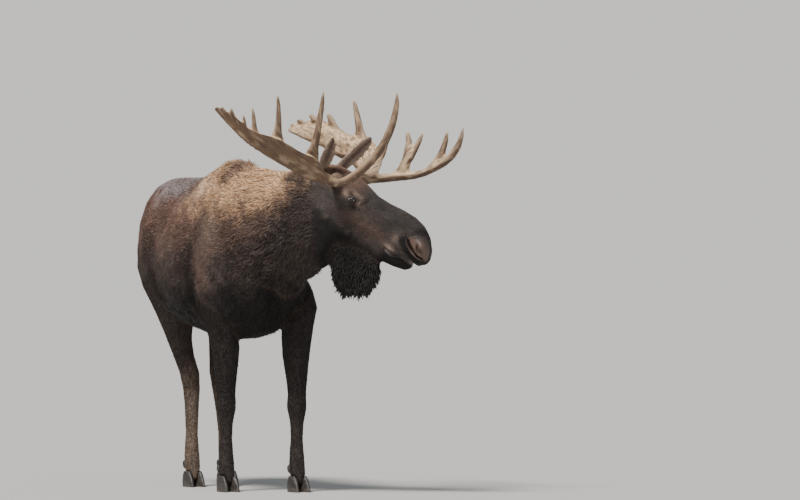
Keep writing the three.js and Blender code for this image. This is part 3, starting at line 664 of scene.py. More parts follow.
def lie_of_coat(skin):
    """Along the skin: back and down on the trunk, away from the head on the neck, from the nose to the
    poll on the face, down on the legs, bell and tail, and from root to tip on the ears; then blended."""
    x, y, z = skin.points.T
    a = in_head(skin.points)[:, 0]
    side = np.sign(y - SPINE)
    flat = np.zeros_like(x)
    rear = ease(-0.95, -1.10, x)
    back = unit((WITHERS - POLL) * [1, 1, 0])
    muzzle = ease(0.52, 0.68, a)[:, None]
    down = -0.2 - 0.6 * ease(1.8, 1.35, z) - rear
    ways = {
        "trunk": np.stack([0.8 * rear - 1, 0.3 * side * ease(1.70, 1.84, z), down], 1),
        "neck": back + np.stack([flat, 0.2 * side, -0.25 - 1.1 * ease(1.80, 1.40, z)], 1),
        "head": (1 - muzzle) * (HEAD_TURN @ [-1, 0, -0.28]) + muzzle * (HEAD_TURN @ [-0.45, 0, -0.7]),
    }
    lie = np.stack([flat - 0.12, flat, flat - 1], 1)
    for word, way in ways.items():
        inside = skin.within(word) > 0.5
        lie[inside] = way[inside]
    for node in EARS:
        lie[skin.labels == FLESH.index(node)] = long_axis(node)
    lie = laid_flat(blurred(lie, skin.links, 40), skin.normals)
    across = np.cross(skin.normals, lie)
    shaggy = 0.35 + 0.65 * skin.within("trunk", "neck", "bell", rounds=20)
    swirl = shaggy * (0.22 * waves(skin.points, 0.30, 1) + 0.38 * waves(skin.points, 0.075, 2))
    return lie * np.cos(swirl)[:, None] + across * np.sin(swirl)[:, None]


def bareness(skin, lip_edge):
    """How bare the skin is: one in the nostrils, on the lips from a given edge in, and on the lids."""
    return np.maximum(skin.nostril, np.maximum(ease(lip_edge, 0.7, skin.lips), ease(0.2, 0.6, skin.lids)))


def grow_fields(skin):
    """Length, half width, height, curl and number of tufts to the square metre at each point of the skin."""
    x, _, z = skin.points.T
    a, _, b = in_head(skin.points).T
    head = skin.within("head", rounds=4)
    trunk = skin.within("trunk", "neck", rounds=20)
    legs = skin.within("foreleg", "hindleg", rounds=10)
    hump = hill(x, WITHERS[0], 0.27) * ease(1.76, 1.90, z)
    crest = ease(1.70, 1.84, z) * ease(-0.1, 0.2, x) * trunk
    under = ease(-0.2, -0.8, skin.normals[:, 2]) * trunk
    rump = ease(-0.62, -0.95, x) * trunk
    muzzle = ease(0.42, 0.62, a) * head
    crown = ease(0.20, 0.02, a) * ease(-0.08, 0.0, b) * head
    low = ease(0.75, 0.35, z) * legs
    pastern = ease(0.20, 0.09, z) * legs
    uneven = 1 + 0.22 * waves(skin.points, 0.12, 3)
    length = skin.field(LENGTH) * (1 - 0.35 * rump) * (1 - 0.45 * muzzle)
    length = length * (1 + 2.6 * crown) * (1 - 0.35 * low)
    length = (length + 0.034 * hump + 0.012 * crest + 0.014 * under + 0.006 * pastern) * uneven
    crowd = skin.field(CROWD) * (1 + 0.55 * muzzle) * (1 + 0.20 * rump) * (1 + 0.25 * low) * (1 + 0.15 * hump)
    for node in EYES:
        near = ease(0.080, 0.030, lengths(skin.points - middle_of(node)))
        length = length * (1 - 0.50 * near)
        crowd = crowd * (1 + 0.5 * near)
    skin.length = length
    skin.half = skin.field(WIDTH) * (1 - 0.25 * muzzle) * (1 - 0.15 * rump) * (1 - 0.2 * low)
    skin.rise = np.minimum(skin.room * 0.95 + 0.022 * crown, 0.42 * length)
    skin.curl = curl_along(skin)
    skin.crowd = crowd * (1 - bareness(skin, 0.35))


# Colours of the coat.
BROWN = (0.128, 0.087, 0.072)
TAN = (0.68, 0.455, 0.275)
# painted highlight: a paler tan that stands for a sunlit spot at the rear of the saddle
SUNLIT_TAN = (0.82, 0.62, 0.46)
RUSSET = (0.190, 0.118, 0.094)
# painted light: a pale grey sheen that stands for sky light on the top of the rump
SKY_SHEEN = (0.290, 0.255, 0.260)
SOOT = (0.0115, 0.0105, 0.0105)
UMBER = (0.046, 0.037, 0.034)
ASH = (0.170, 0.130, 0.100)
SLATE = (0.068, 0.058, 0.054)
LEAD = (0.032, 0.031, 0.031)
SMOKE = (0.0240, 0.0220, 0.0215)
BUFF = (0.200, 0.150, 0.120)
EAR = (0.350, 0.270, 0.215)
CREAM = (0.430, 0.335, 0.275)
COAL = (0.0060, 0.0056, 0.0056)
FACE_SPOTS = [
    # middle and reach from the side in the head's own axes, share and colour
    ((0.34, -0.130), (0.12, 0.055), 0.75, BROWN),  # cheek
    ((0.46, -0.110), (0.07, 0.040), 0.35, RUSSET),
    ((0.400, 0.030), (0.16, 0.035), 0.75, LEAD),  # bridge of the nose
    ((0.205, -0.022), (0.030, 0.012), 0.8, UMBER),  # round the eye
    ((0.180, -0.040), (0.018, 0.026), 0.8, CREAM),
    ((0.240, -0.006), (0.030, 0.011), 0.55, CREAM),
    ((0.277, -0.036), (0.008, 0.020), 0.55, CREAM),
    ((0.262, -0.085), (0.030, 0.020), 0.85, SOOT),
    ((0.300, -0.008), (0.010, 0.034), 0.8, SOOT),  # tear hollow
    ((0.305, -0.040), (0.010, 0.016), 0.7, BUFF),
    ((0.570, -0.064), (0.024, 0.034), 0.32, CREAM),  # above the mouth's corner
    ((0.566, -0.132), (0.034, 0.020), 0.90, CREAM),  # by the mouth's corner
]


def laid_over(under, *layers):
    """Colours laid one over another, each with a mask: zero leaves what is under, and one hides it."""
    for colour, mask in layers:
        under = under + (np.array(colour) - under) * np.clip(mask, 0, 1)[:, None]
    return under


def coat_colours(skin):
    """Brown all over; a painted sheen of sky light on the rump top, a tan saddle along the top of the
    shoulder and neck that runs down in streaks, with a painted sunlit spot at its rear and painted shade on
    the top of the hump, a band of painted shade in the crease behind the shoulder, soot below and on the
    neck's side, chest, legs and bell, and ashen hind shanks; then the face."""
    x, _, z = skin.points.T
    trunk, neck = (skin.within(word, rounds=15) for word in ("trunk", "neck"))
    fore, hind = (skin.within(word, rounds=12) for word in ("foreleg", "hindleg"))
    ears = skin.within("ear", rounds=4)
    body = np.maximum(trunk, neck)
    drift = 0.045 * waves(skin.points, 0.22, 5) + 0.025 * waves(skin.points, 0.07, 6)
    streaks = 0.05 * waves(skin.points * [1, 1, 0.35], 0.045, 8)
    level = z + drift
    dark = ease(0.36, 0.60, x + 2.4 * np.clip(1.50 - z, 0, 0.12) + drift)
    saddle = ease(1.54, 1.76, level + 0.5 * streaks)
    saddle = saddle * ease(-0.42, -0.18, x + drift) * ease(0.64, 0.44, x + drift)
    # painted shade in the crease behind the shoulder, leaning back lower down
    band = hill(x + 0.5 * drift, -0.13 + 0.35 * np.clip(1.30 - z, 0, 1), 0.075)
    colour = laid_over(
        np.broadcast_to(np.array(BROWN), skin.points.shape),
        (RUSSET, trunk * ease(0.1, -0.2, x) * ease(1.42, 1.60, level)),
        # painted sheen of sky light on the top of the rump
        (SKY_SHEEN, 0.85 * trunk * ease(1.66, 1.80, level) * ease(-0.20, -0.45, x)),
        (UMBER, 0.75 * trunk * ease(1.50, 1.30, level) * ease(0.05, -0.30, x)),
        (BUFF, 0.45 * trunk * hill(x, 0.13, 0.11) * hill(z, 1.52, 0.13)),
        (UMBER, 0.92 * body * dark * ease(1.68, 1.54, level + streaks)),
        (TAN, 0.95 * saddle * body),
        # painted highlight: a sunlit spot at the rear of the saddle
        (SUNLIT_TAN, 0.75 * body * hill(x, -0.19, 0.10) * hill(z, 1.76, 0.07)),
        # painted shade: darker brown on the top of the hump
        (BROWN, 0.9 * body * hill(x, 0.09, 0.10) * ease(1.76, 1.83, z + 0.5 * drift)),
        (UMBER, 0.9 * neck * ease(0.50, 0.62, x + drift)),
        (SOOT, 0.92 * body * ease(1.30, 1.12, level)),
        # painted shade: soot in the crease behind the shoulder
        (SOOT, 0.65 * trunk * band * ease(1.52, 1.28, level)),
        (BROWN, 0.7 * trunk * hill(x, 0.05, 0.06) * hill(z, 1.23, 0.12)),
        (SOOT, 0.92 * fore),
        (UMBER, 0.7 * fore * ease(0.60, 0.35, z)),
        (SOOT, 0.75 * hind),
        (ASH, 0.85 * hind * ease(0.82, 0.46, z + 0.8 * drift)),
        (SMOKE, skin.within("bell", rounds=6)),
        (EAR, 0.95 * ears),
    )
    for node in EARS:
        aside = off_axis(skin.points - middle_of(node), long_axis(node))
        near = aside < 0.1
        middle = (BROWN, 0.85 * ears * ease(0.024, 0.010, aside) * near)
        colour = laid_over(colour, middle, (CREAM, 0.8 * ears * ease(0.030, 0.042, aside) * near))
    return face_colours(skin, colour)


def face_colours(skin, colour):
    """Slate, with reddish cheek and brow, the spots of the face, a black band behind the nostril, black chin
    and throat, and a tan crown."""
    head = skin.within("head", rounds=10)
    places = mirrored(skin.points)
    a, _, b = places.T
    rough = 0.012 * waves(skin.points, 0.05, 9)
    cheek = 0.80 * head * ease(0.34, 0.16, a) * ease(-0.10, 0.02, b + rough)
    colour = laid_over(colour, (SLATE, head), (RUSSET, cheek))
    for middle, reach, share, tint in FACE_SPOTS:
        away = ((a - middle[0]) / reach[0]) ** 2 + ((b - middle[1]) / reach[1]) ** 2
        colour = laid_over(colour, (tint, share * head * np.exp(-away)))
    along, ahead, ring = nostril_places(places)
    black = ease(-0.056, -0.036, ahead) * (ahead < 0.004)
    black = black * ease(-0.06, -0.01, along) * ease(0.18, 0.12, along)
    over = ease(0.60, 0.66, a) * hill(ring, 1.24, 0.30) * (ahead > -0.01)
    chin = ease(0.50, 0.58, a) * ease(0.0, 0.012, (MOUTH_LEVEL - b))
    return laid_over(
        colour,
        (COAL, 0.92 * head * black),
        (COAL, 0.75 * head * over),
        (COAL, 0.95 * head * chin),
        (SOOT, 0.90 * head * ease(-0.185, -0.235, b + rough) * ease(0.58, 0.48, a)),
        (TAN, 0.6 * head * hill(a, -0.01, 0.05) * ease(-0.02, 0.03, b)),
    )


# ---- Unwrap of the skin: each region rolled off round its own axis onto its own oblong ----
CHARTS = {
    # region: left, bottom, width, height on the sheet
    "trunk": (0.00, 0.00, 0.62, 0.46),
    "neck": (0.63, 0.00, 0.36, 0.30),
    "head": (0.63, 0.31, 0.36, 0.36),
    "foreleg_left": (0.00, 0.47, 0.14, 0.38),
    "foreleg_right": (0.15, 0.47, 0.14, 0.38),
    "hindleg_left": (0.30, 0.47, 0.15, 0.38),
    "hindleg_right": (0.46, 0.47, 0.15, 0.38),
    "bell": (0.63, 0.68, 0.20, 0.18),
    "tail": (0.84, 0.68, 0.06, 0.10),
    "ear_left": (0.63, 0.87, 0.17, 0.12),
    "ear_right": (0.81, 0.87, 0.17, 0.12),
}


def axis_of(region):
    """The way along which a region is rolled off."""
    if region == "trunk":
        return np.array([1.0, 0, 0])
    if region == "neck":
        return unit((POLL - WITHERS) * [1, 1, 0.4])
    if region == "head":
        return HEAD_TURN[:, 0]
    return long_axis(region) if region.startswith("ear") else np.array([0, 0, 1.0])


def rolled(points, region, bands=40):
    """Turn about the region's own axis, from 0 to 1, and place along it, from 0 to 1. The middle of each band
    along the axis is the mean of its points. Near the ends the place also counts the way in to the axis."""
    axis = axis_of(region)
    base = unit(np.cross(axis, [0, 0, 1.0] if abs(axis[2]) < 0.8 else [1.0, 0, 0]))
    other = np.cross(axis, base)
    along = points @ axis
    low, high = along.min(), along.max()
    share = (along - low) / (high - low)
    band = np.clip((share * bands).astype(int), 0, bands - 1)
    count = np.maximum(np.bincount(band, minlength=bands), 1)
    centres = np.stack([np.bincount(band, points[:, k], bands) / count for k in range(3)], 1)
    at = (np.arange(bands) + 0.5) / bands
    middle = np.stack([np.interp(share, at, centres[:, k]) for k in range(3)], 1)
    out = points - middle
    turn = np.arctan2(out @ other, out @ base) / (2 * np.pi) + 0.5
    reach = np.hypot(out @ other, out @ base) / (high - low)
    widest = np.percentile(reach, 80)
    v = share + ease(0.75, 1.0, share) * (widest - reach) - ease(0.25, 0.0, share) * (widest - reach)
    return turn, (v - v.min()) / (v.max() - v.min())


def unwrap(skin):
    """The place of each corner of each triangle on the unwrap."""
    places = np.zeros((len(skin.faces), 3, 2))
    owner = skin.labels[skin.faces[:, 0]]
    for number, region in enumerate(FLESH):
        chosen = owner == number
        left, bottom, width, height = CHARTS[region]
        corners = skin.faces[chosen]
        used, back = np.unique(corners, return_inverse=True)
        turn, along = rolled(skin.points[used], region)
        turn, along = turn[back.reshape(corners.shape)], along[back.reshape(corners.shape)]
        wraps = turn.max(1) - turn.min(1) > 0.5
        turn = turn + (wraps[:, None] & (turn < 0.5))
        places[chosen, :, 0] = left + width * 0.97 * turn
        places[chosen, :, 1] = bottom + height * along
    return places


# ---- Tufts ----
def scattered(skin, chosen, seed):
    """Roots spread evenly by area and crowding over the chosen triangles: the triangle of each root, and the
    shares of its three corners."""
    rng = np.random.default_rng(seed)
    area = lengths(face_normals(skin.points, skin.faces)) / 2
    weight = area * skin.crowd[skin.faces].mean(1) * chosen
    total = np.cumsum(weight)
    count = int(total[-1])
    picks = (np.arange(count) + rng.random(count)) * (total[-1] / count)
    face = np.minimum(np.searchsorted(total, picks), len(area) - 1)
    u, v = rng.random((2, count))
    fold = u + v > 1
    u[fold], v[fold] = 1 - u[fold], 1 - v[fold]
    return face, np.stack([1 - u - v, u, v], 1)


def tuft_faces(rings):
    """Triangles of one tuft: a base, bands between rings of three points, and a tip; all facing out."""
    faces = [(0, 2, 1)]
    for ring in range(rings - 1):
        for k in range(3):
            a, b = 3 * ring + k, 3 * ring + (k + 1) % 3
            faces += [(a, b, b + 3), (a, b + 3, a + 3)]
    last = 3 * (rings - 1)
    faces += [(last + k, last + (k + 1) % 3, 3 * rings) for k in range(3)]
    return np.array(faces)


def tuft_shapes(root, normal, lie, length, half, rise, bend, curl, rings):
    """Each tuft is a closed lock on three-cornered rings. At a share t along, its middle line has run out by
    length * t, sideways by bend * length * t^2, up by rise * (1 - (1 - t)^2), and down with the skin by
    curl * (length * t)^2 / 2. Its half width is half * (0.7 + 1.1 t - 1.3 t^2), and its tip is a point."""
    side = np.cross(normal, lie)
    steps = np.append(np.linspace(0, 0.62 if rings > 2 else 0.42, rings), 1.0)
    points = []
    for t in steps:
        fall = np.minimum(0.5 * curl * (length * t) ** 2, 0.6 * length * t)
        up = rise * (1 - (1 - t) ** 2) - 0.10 * length * (1 - t) ** 3 - fall
        aside = bend * length * t * t
        middle = root + lie * (length * t)[:, None] + side * aside[:, None] + normal * up[:, None]
        wide = (half * (0.7 + 1.1 * t - 1.3 * t * t))[:, None]
        ring = [middle + side * wide, middle - side * wide, middle + normal * wide * 0.55]
        points += ring if t < 1 else [middle]
    return np.stack(points, 1), np.repeat(steps, [3] * rings + [1])


def grow_coat(skin, name, words, slot, rings, seed):
    """Covers the regions in tufts, and makes them pieces of no more than the allowed number of triangles."""
    inside = np.isin(skin.labels, [k for k, node in enumerate(FLESH) if node.split("_")[0] in words])
    face, shares = scattered(skin, inside[skin.faces[:, 0]], seed)
    rng = np.random.default_rng(seed + 1000)
    count = len(face)

    def at_roots(values):
        """Values of the skin's points, blended at the roots."""
        corners = values[skin.faces[face]]
        return (corners * (shares[..., None] if values.ndim > 1 else shares)).sum(1)

    root = at_roots(skin.points)
    normal = unit(at_roots(skin.normals))
    stray = rng.normal(0, 0.22, count)[:, None]
    lie = laid_flat(at_roots(skin.lie), normal)
    lie = unit(lie * np.cos(stray) + np.cross(normal, lie) * np.sin(stray))
    length = at_roots(skin.length) * rng.uniform(0.72, 1.25, count)
    half = at_roots(skin.half) * rng.uniform(0.75, 1.2, count)
    rise = at_roots(skin.rise) * rng.uniform(0.35, 1.15, count)
    bend = 0.30 * waves(root, 0.05, seed + 7) + rng.normal(0, 0.10, count)
    points, steps = tuft_shapes(root, normal, lie, length, half, rise, bend, at_roots(skin.curl), rings)
    colour = with_alpha(at_roots(skin.colour))
    place = (skin.unwrap[face] * shares[..., None]).sum(1)
    pattern = tuft_faces(rings)
    each = points.shape[1]
    across = np.append(np.tile([-1.0, 1.0, 0.0], rings), 0.0)
    patch = np.stack([across * PATCH / 2, (steps - 0.5) * PATCH], 1)
    order = np.argsort(skin.faces[face, 0], kind="stable")
    parts = max(1, math.ceil(count / (PIECE_TRIANGLES // len(pattern))))
    for number, chosen in enumerate(np.array_split(order, parts)):
        starts = np.arange(len(chosen)) * each
        faces = pattern[None] + starts[:, None, None]
        item = new_object(f"{name}_{number + 1}", points[chosen].reshape(-1, 3), faces.reshape(-1, 3))
        store(item, "along", np.tile(steps, len(chosen)))
        store(item, "root", np.repeat(root[chosen], each, 0))
        store(item, "coat", np.repeat(colour[chosen], each, 0))
        store_unwrap(item, place[chosen][:, None, None] + patch[pattern][None])
        finished(item, COAT_MATERIAL)


# ---- Materials ----
def new_material(name):
    """A material with its nodes, its links and its shader."""
    material = bpy.data.materials.new(name)
    material.use_nodes = True
    tree = material.node_tree
    return material, tree, tree.nodes["Principled BSDF"]


def fill(tree, made, **settings):
    """Sets up a node: a value or a link goes to the socket of that name or number, or else to the node."""
    for key, value in settings.items():
        numbered = key.startswith("at_")
        socket = made.inputs[int(key[3:])] if numbered else made.inputs.get(key.replace("_", " "))
        if socket is None:
            setattr(made, key, value)
        elif isinstance(value, bpy.types.NodeSocket):
            tree.links.new(value, socket)
        elif socket.type == "RGBA":
            socket.default_value = (*value, 1)
        else:
            socket.default_value = value
    return made


def node(tree, kind, **settings):
    """A new shader node, set up."""
    return fill(tree, tree.nodes.new(kind), **settings)


def kept(tree, name, kind="Fac"):
    """A value kept on the mesh."""
    return node(tree, "ShaderNodeAttribute", attribute_name=name).outputs[kind]


def object_place(tree):
    """The place of a point in the piece's own frame."""
    return node(tree, "ShaderNodeTexCoord").outputs["Object"]


def grey(tree, value):
    """A colour with the same value in red, green and blue."""
    return node(tree, "ShaderNodeCombineColor", Red=value, Green=value, Blue=value).outputs[0]


def bumped(tree, height, strength, distance):
    """Normals tilted by the slope of a height."""
    return node(tree, "ShaderNodeBump", Strength=strength, Distance=distance, Height=height).outputs["Normal"]


def noise(tree, vector, scale, detail=3.0):
    """Soft noise from about 0 to 1 on a vector."""
    made = node(tree, "ShaderNodeTexNoise", Vector=vector, Scale=scale, Detail=detail, Roughness=0.55)
    return made.outputs["Fac"]


def spread_out(tree, value, low, high, to_low, to_high):
    """Maps low to to_low and high to to_high, held at both ends."""
    made = node(tree, "ShaderNodeMapRange", at_0=value, at_1=low, at_2=high, at_3=to_low, at_4=to_high)
    return made.outputs["Result"]


def times(tree, first, second):
    """The product of two values."""
    return node(tree, "ShaderNodeMath", operation="MULTIPLY", at_0=first, at_1=second).outputs[0]


def mixed(tree, share, first, second, blend="MIX"):
    """Two colours mixed by a share."""
    made = node(tree, "ShaderNodeMix", data_type="RGBA", blend_type=blend)
    return fill(tree, made, at_0=share, at_6=first, at_7=second).outputs[2]


def painted(tree, base, *layers):
    """Colours laid one over another, each by a value mapped from low and high to zero and most."""
    for value, low, high, most, colour in layers:
        base = mixed(tree, spread_out(tree, value, low, high, 0.0, most), base, colour)
    return base


def build_hair_tint():
    """Turns the coat's colour at a root into hair: mottled from lock to lock, dark at the root and paler at
    the tip."""
    tree = bpy.data.node_groups.new("hair_tint", "ShaderNodeTree")
    for label, kind in (("Coat", "Color"), ("Root", "Vector"), ("Along", "Float")):
        tree.interface.new_socket(label, in_out="INPUT", socket_type=f"NodeSocket{kind}")
    tree.interface.new_socket("Color", in_out="OUTPUT", socket_type="NodeSocketColor")
    coat, root, along = tree.nodes.new("NodeGroupInput").outputs[:3]
    lock = spread_out(tree, noise(tree, root, 160.0, 1.0), 0.30, 0.70, 0.62, 1.42)
    patches = spread_out(tree, noise(tree, root, 16.0), 0.35, 0.65, 0.86, 1.14)
    lit = times(tree, times(tree, lock, patches), spread_out(tree, along, 0.0, 0.9, 0.62, 1.22))
    hair = mixed(tree, 1.0, coat, grey(tree, lit), "MULTIPLY")
    warm = mixed(tree, 1.0, hair, (1.12, 0.96, 0.86), "MULTIPLY")
    hair = painted(tree, hair, (noise(tree, root, 60.0, 2.0), 0.4, 0.6, 0.8, warm))
    tree.links.new(hair, tree.nodes.new("NodeGroupOutput").inputs["Color"])
    return tree


HAIR_TINT = build_hair_tint()


def tinted(tree, coat, root, along):
    """The hair tint group placed in a material."""
    made = node(tree, "ShaderNodeGroup", node_tree=HAIR_TINT, Coat=coat, Root=root, Along=along)
    return made.outputs["Color"]


def coat_material():
    """Dull hair with a little sheen."""
    material, tree, shader = new_material("coat_hair")
    tint = tinted(tree, kept(tree, "coat", "Color"), kept(tree, "root", "Vector"), kept(tree, "along"))
    fill(tree, shader, Base_Color=tint, Roughness=0.66, Specular_IOR_Level=0.22)
    return material


def skin_material():
    """Undercoat in the same markings, darker than the hair's tips as painted shade under the coat, with bare
    moist hide at the nostrils, lips and lids.
    """
    material, tree, shader = new_material("undercoat")
    place = object_place(tree)
    # painted shade: the undercoat is darker than the tips of the hair
    under = tinted(tree, kept(tree, "coat", "Color"), place, 0.25)
    share = kept(tree, "bare")
    grain = grey(tree, noise(tree, place, 900.0, 2.0))
    hide = mixed(tree, 1.0, kept(tree, "hide", "Color"), grain, "MULTIPLY")
    hide = mixed(tree, 1.0, hide, (1.7, 1.7, 1.7), "MULTIPLY")
    fill(
        tree,
        shader,
        Base_Color=mixed(tree, share, under, hide),
        Roughness=spread_out(tree, share, 0.0, 1.0, 0.75, 0.42),
        Normal=bumped(tree, noise(tree, place, 260.0, 4.0), 0.5, 0.002),
        Specular_IOR_Level=0.35,
    )
    return material


COAT_MATERIAL = coat_material()
SKIN_MATERIAL = skin_material()


# ---- Bare hide: nostrils, lips and lids ----
NOSTRIL_HIDE = (0.130, 0.082, 0.064)
# painted shade: near black in the slit of the nostril, where the wing shades it
SLIT_SHADE = (0.016, 0.007, 0.005)
RIM_HIDE = (0.230, 0.165, 0.142)
# pale bare lips at the mouth's corner; along the front rim of the upper lip also a painted highlight
LIP_HIDE_AND_HIGHLIGHT = (0.200, 0.150, 0.140)


def hide_colours(skin):
    """Colour of the bare hide at each point, with painted shade in the nostril's slit and at the front edge
    of its opening, and a painted highlight along the front rim of the upper lip.
    """
    along, ahead, ring = nostril_places(skin.places)
    a, _, b = skin.places.T
    inner = ease(0.1, 0.4, skin.nostril)
    return laid_over(
        np.broadcast_to(np.array(UMBER), skin.points.shape),
        # pale bare lips at the mouth's corner, and a painted highlight along the lit front rim of the upper
        # lip
        (LIP_HIDE_AND_HIGHLIGHT, np.maximum(hill(a, 0.560, 0.040), ease(0.69, 0.72, a) * (b > MOUTH_LEVEL))),
        (SOOT, ease(0.1, 0.3, skin.lids)),
        (NOSTRIL_HIDE, inner),
        # painted shade: darker towards the front edge of the opening, where the hide turns away from the
        # light
        (UMBER, 0.85 * inner * ease(0.55, 0.92, ring) * ease(0.020, 0.060, ahead)),
        # painted shadow in the slit under the wing of the nostril
        (SLIT_SHADE, inner * ease(0.010, 0.004, np.abs(ahead - 0.001))),
        (RIM_HIDE, 0.9 * (hill(ahead, -0.012, 0.006) * ease(0.05, 0.08, along) * ease(0.15, 0.13, along))),
    )


def make_skin():
    """The one surface of all flesh, at full grain, with all the fields that the coat grows from."""
    skin = evened_skin()
    model_body(skin)
    finer_head(skin)
    model_head(skin)
    skin.measure()
    sunk(skin)
    open_eyes(skin)
    skin.measure()
    skin.lie = lie_of_coat(skin)
    grow_fields(skin)
    skin.colour = coat_colours(skin)
    skin.unwrap = unwrap(skin)
    return skin


def show_skin(skin):
    """The skin as a piece, thinned to the allowed number of triangles, less on the head than elsewhere."""
    item = new_object("skin", skin.points, skin.faces)
    store(item, "coat", with_alpha(skin.colour))
    store(item, "hide", with_alpha(hide_colours(skin)))
    store(item, "bare", bareness(skin, 0.30))
    store_unwrap(item, skin.unwrap)
    group = item.vertex_groups.new(name="thin")
    head = skin.within("head", "ear", rounds=6)
    for level in range(11):
        chosen = np.flatnonzero(np.round(10 * (1 - head)).astype(int) == level)
        group.add(chosen.tolist(), level / 10, "REPLACE")
    ratio = SKIN_TRIANGLES / len(skin.faces)
    mesh = applied(item, "DECIMATE", ratio=ratio, vertex_group="thin", vertex_group_factor=1.0)
    mesh.name = "skin"
    thin = bpy.data.objects.new("skin", mesh)
    bpy.context.scene.collection.objects.link(thin)
    finished(thin, SKIN_MATERIAL, FLESH)


# ---- Antlers: each side's beam, palm and brow as one surface with grooves along it ----
def grain_of(points, normals, links, root):
    """The way the grooves run: across the spread of normals nearby, so along a tine, and outwards from the
    antler's root where a plate leaves that open. It is the least of the spread's three axes."""
    spread = (normals[:, :, None] * normals[:, None, :]).reshape(-1, 9)
    spread = blurred(spread, links, 24).reshape(-1, 3, 3)
    outwards = unit(points - root)
    spread = spread + 0.10 * (np.eye(3) - outwards[:, :, None] * outwards[:, None, :])
    return np.linalg.eigh(spread)[1][:, :, 0]


def streaked(values, points, links, way, rounds):
    """Blurs values along a way only: an edge counts by the sixth power of its cosine to the way."""
    a, b = links.T
    count = len(points)
    step = unit(points[b] - points[a])
    weight = 0.5 * (np.abs(dot(step, way[a])) ** 6 + np.abs(dot(step, way[b])) ** 6) + 1e-4
    total = np.bincount(a, weight, count) + np.bincount(b, weight, count)
    for _ in range(rounds):
        around = np.bincount(a, weight * values[b], count) + np.bincount(b, weight * values[a], count)
        values = 0.2 * values + 0.8 * around / total
    return values / values.std()


def antler_root(side):
    """Where an antler leaves the skull."""
    return from_head([0.084, 0.055 if side == "left" else -0.055, -0.005])


def make_antler(side, seed):
    """One antler: smoothed, most of all where it is thin, grooved along its tines, with worn tips and ridges
    that are also a painted highlight on the lit rims, and a rough burr at its root."""
    nodes = [f"antler_{side}_{part}" for part in ("beam", "palm", "brow")]
    outer, faces = remeshed(f"antler_{side}", nodes, ANTLER_VOXEL, ANTLER_SWELL)
    links = links_of(faces)
    points = blurred(outer, links, 8)
    normals = point_normals(points, faces)
    lost = blurred(dot(outer - points, normals), links, 6)
    points = points + normals * (np.clip(lost, 0, 0.002) + 0.0012 - ANTLER_SWELL)[:, None]
    root = antler_root(side)
    rng = np.random.default_rng(seed)
    way = grain_of(points, normals, links, root)
    grooves = streaked(rng.normal(size=len(points)), points, links, way, 26)
    broad = blurred(points, links, 24)
    thin = dot(points - broad, normals)
    slender = blurred(thin, links, 20)
    edge = ease(0.0010, 0.0024, blurred(lengths(points - broad), links, 2))
    points = blurred(points, links, 14, 0.5 * edge)
    normals = point_normals(points, faces)
    away = lengths(points - root)
    burr = hill(away, 0.055, 0.016)
    pits = blurred(rng.normal(size=len(points)), links, 2)
    pits = pits / pits.std()
    height = 0.0008 * np.clip(grooves, -2, 2) * (1 - 0.85 * edge)
    height = height + 0.003 * burr * np.clip(pits, -1, 1.5) - 0.0006 * ease(1.2, 2.2, pits)
    even = unit(blurred(normals, links, 4))
    item = new_object(f"antler_{side}", points + even * np.clip(height, -0.003, 0.004)[:, None], faces)
    store(item, "groove", grooves)
    store(item, "pit", pits)
    # ivory on thin ridges: wear, and also a painted highlight on the lit rims
    store(item, "worn", ease(0.0012, 0.0032, thin - slender) * ease(0.10, 0.30, away))
    store(item, "tip", ease(0.0018, 0.0036, slender) * ease(0.35, 0.60, away))
    store(item, "burr", burr)
    # painted light: buff where the antler faces up and brown where it faces down
    store(item, "lit_from_above", ease(-0.30, 0.55, blurred(normals, links, 6)[:, 2]))
    store(item, "stem", ease(0.36, 0.12, away))
    store(item, "rod", ease(0.0004, 0.0016, slender))
    finished(item, ANTLER_MATERIAL, nodes)


def antler_material():
    """Dry bone: brown in its grooves and pits, brown below and buff above as painted light from above, and
    ivory where it is worn, which on the lit rims is also a painted highlight.
    """
    material, tree, shader = new_material("antler_bone")
    place = object_place(tree)
    speckle = noise(tree, place, 110.0)
    groove, worn, rod, lit_from_above = (kept(tree, name) for name in ("groove", "worn", "rod", "lit_from_above"))
    pits = spread_out(tree, kept(tree, "pit"), 1.0, 1.9, 0.0, 0.8)
    base = painted(
        tree,
        # painted light from above: brown below and buff above, on the plates and on the rods
        mixed(tree, lit_from_above, (0.150, 0.088, 0.050), (0.68, 0.475, 0.280)),
        (rod, 0.0, 1.0, 0.9, mixed(tree, lit_from_above, (0.090, 0.052, 0.032), (0.270, 0.175, 0.105))),
        (noise(tree, place, 14.0, 4.0), 0.45, 0.62, 0.45, (0.15, 0.085, 0.050)),
        (kept(tree, "stem"), 0.0, 1.0, 0.8, (0.12, 0.070, 0.044)),
        (groove, 0.2, 1.8, 0.40, (0.50, 0.37, 0.24)),
        (groove, -0.2, -1.7, 0.72, (0.085, 0.048, 0.030)),
    )
    holes = times(tree, pits, spread_out(tree, rod, 0.0, 0.6, 1.0, 0.0))
    base = painted(
        tree,
        mixed(tree, holes, base, (0.075, 0.042, 0.026)),
        # ivory on worn ridges, which is also a painted highlight on the lit rims
        (worn, 0.0, 1.0, 0.90, (0.72, 0.57, 0.38)),
        (speckle, 0.60, 0.72, 0.5, (0.16, 0.10, 0.06)),
        (kept(tree, "tip"), 0.0, 1.0, 0.75, (0.72, 0.58, 0.40)),
    )
    base = mixed(tree, kept(tree, "burr"), base, (0.15, 0.095, 0.075))
    rough = spread_out(tree, worn, 0.0, 1.0, 0.72, 0.48)
    fill(tree, shader, Base_Color=base, Roughness=rough, Normal=bumped(tree, speckle, 0.5, 0.0015))
    return material


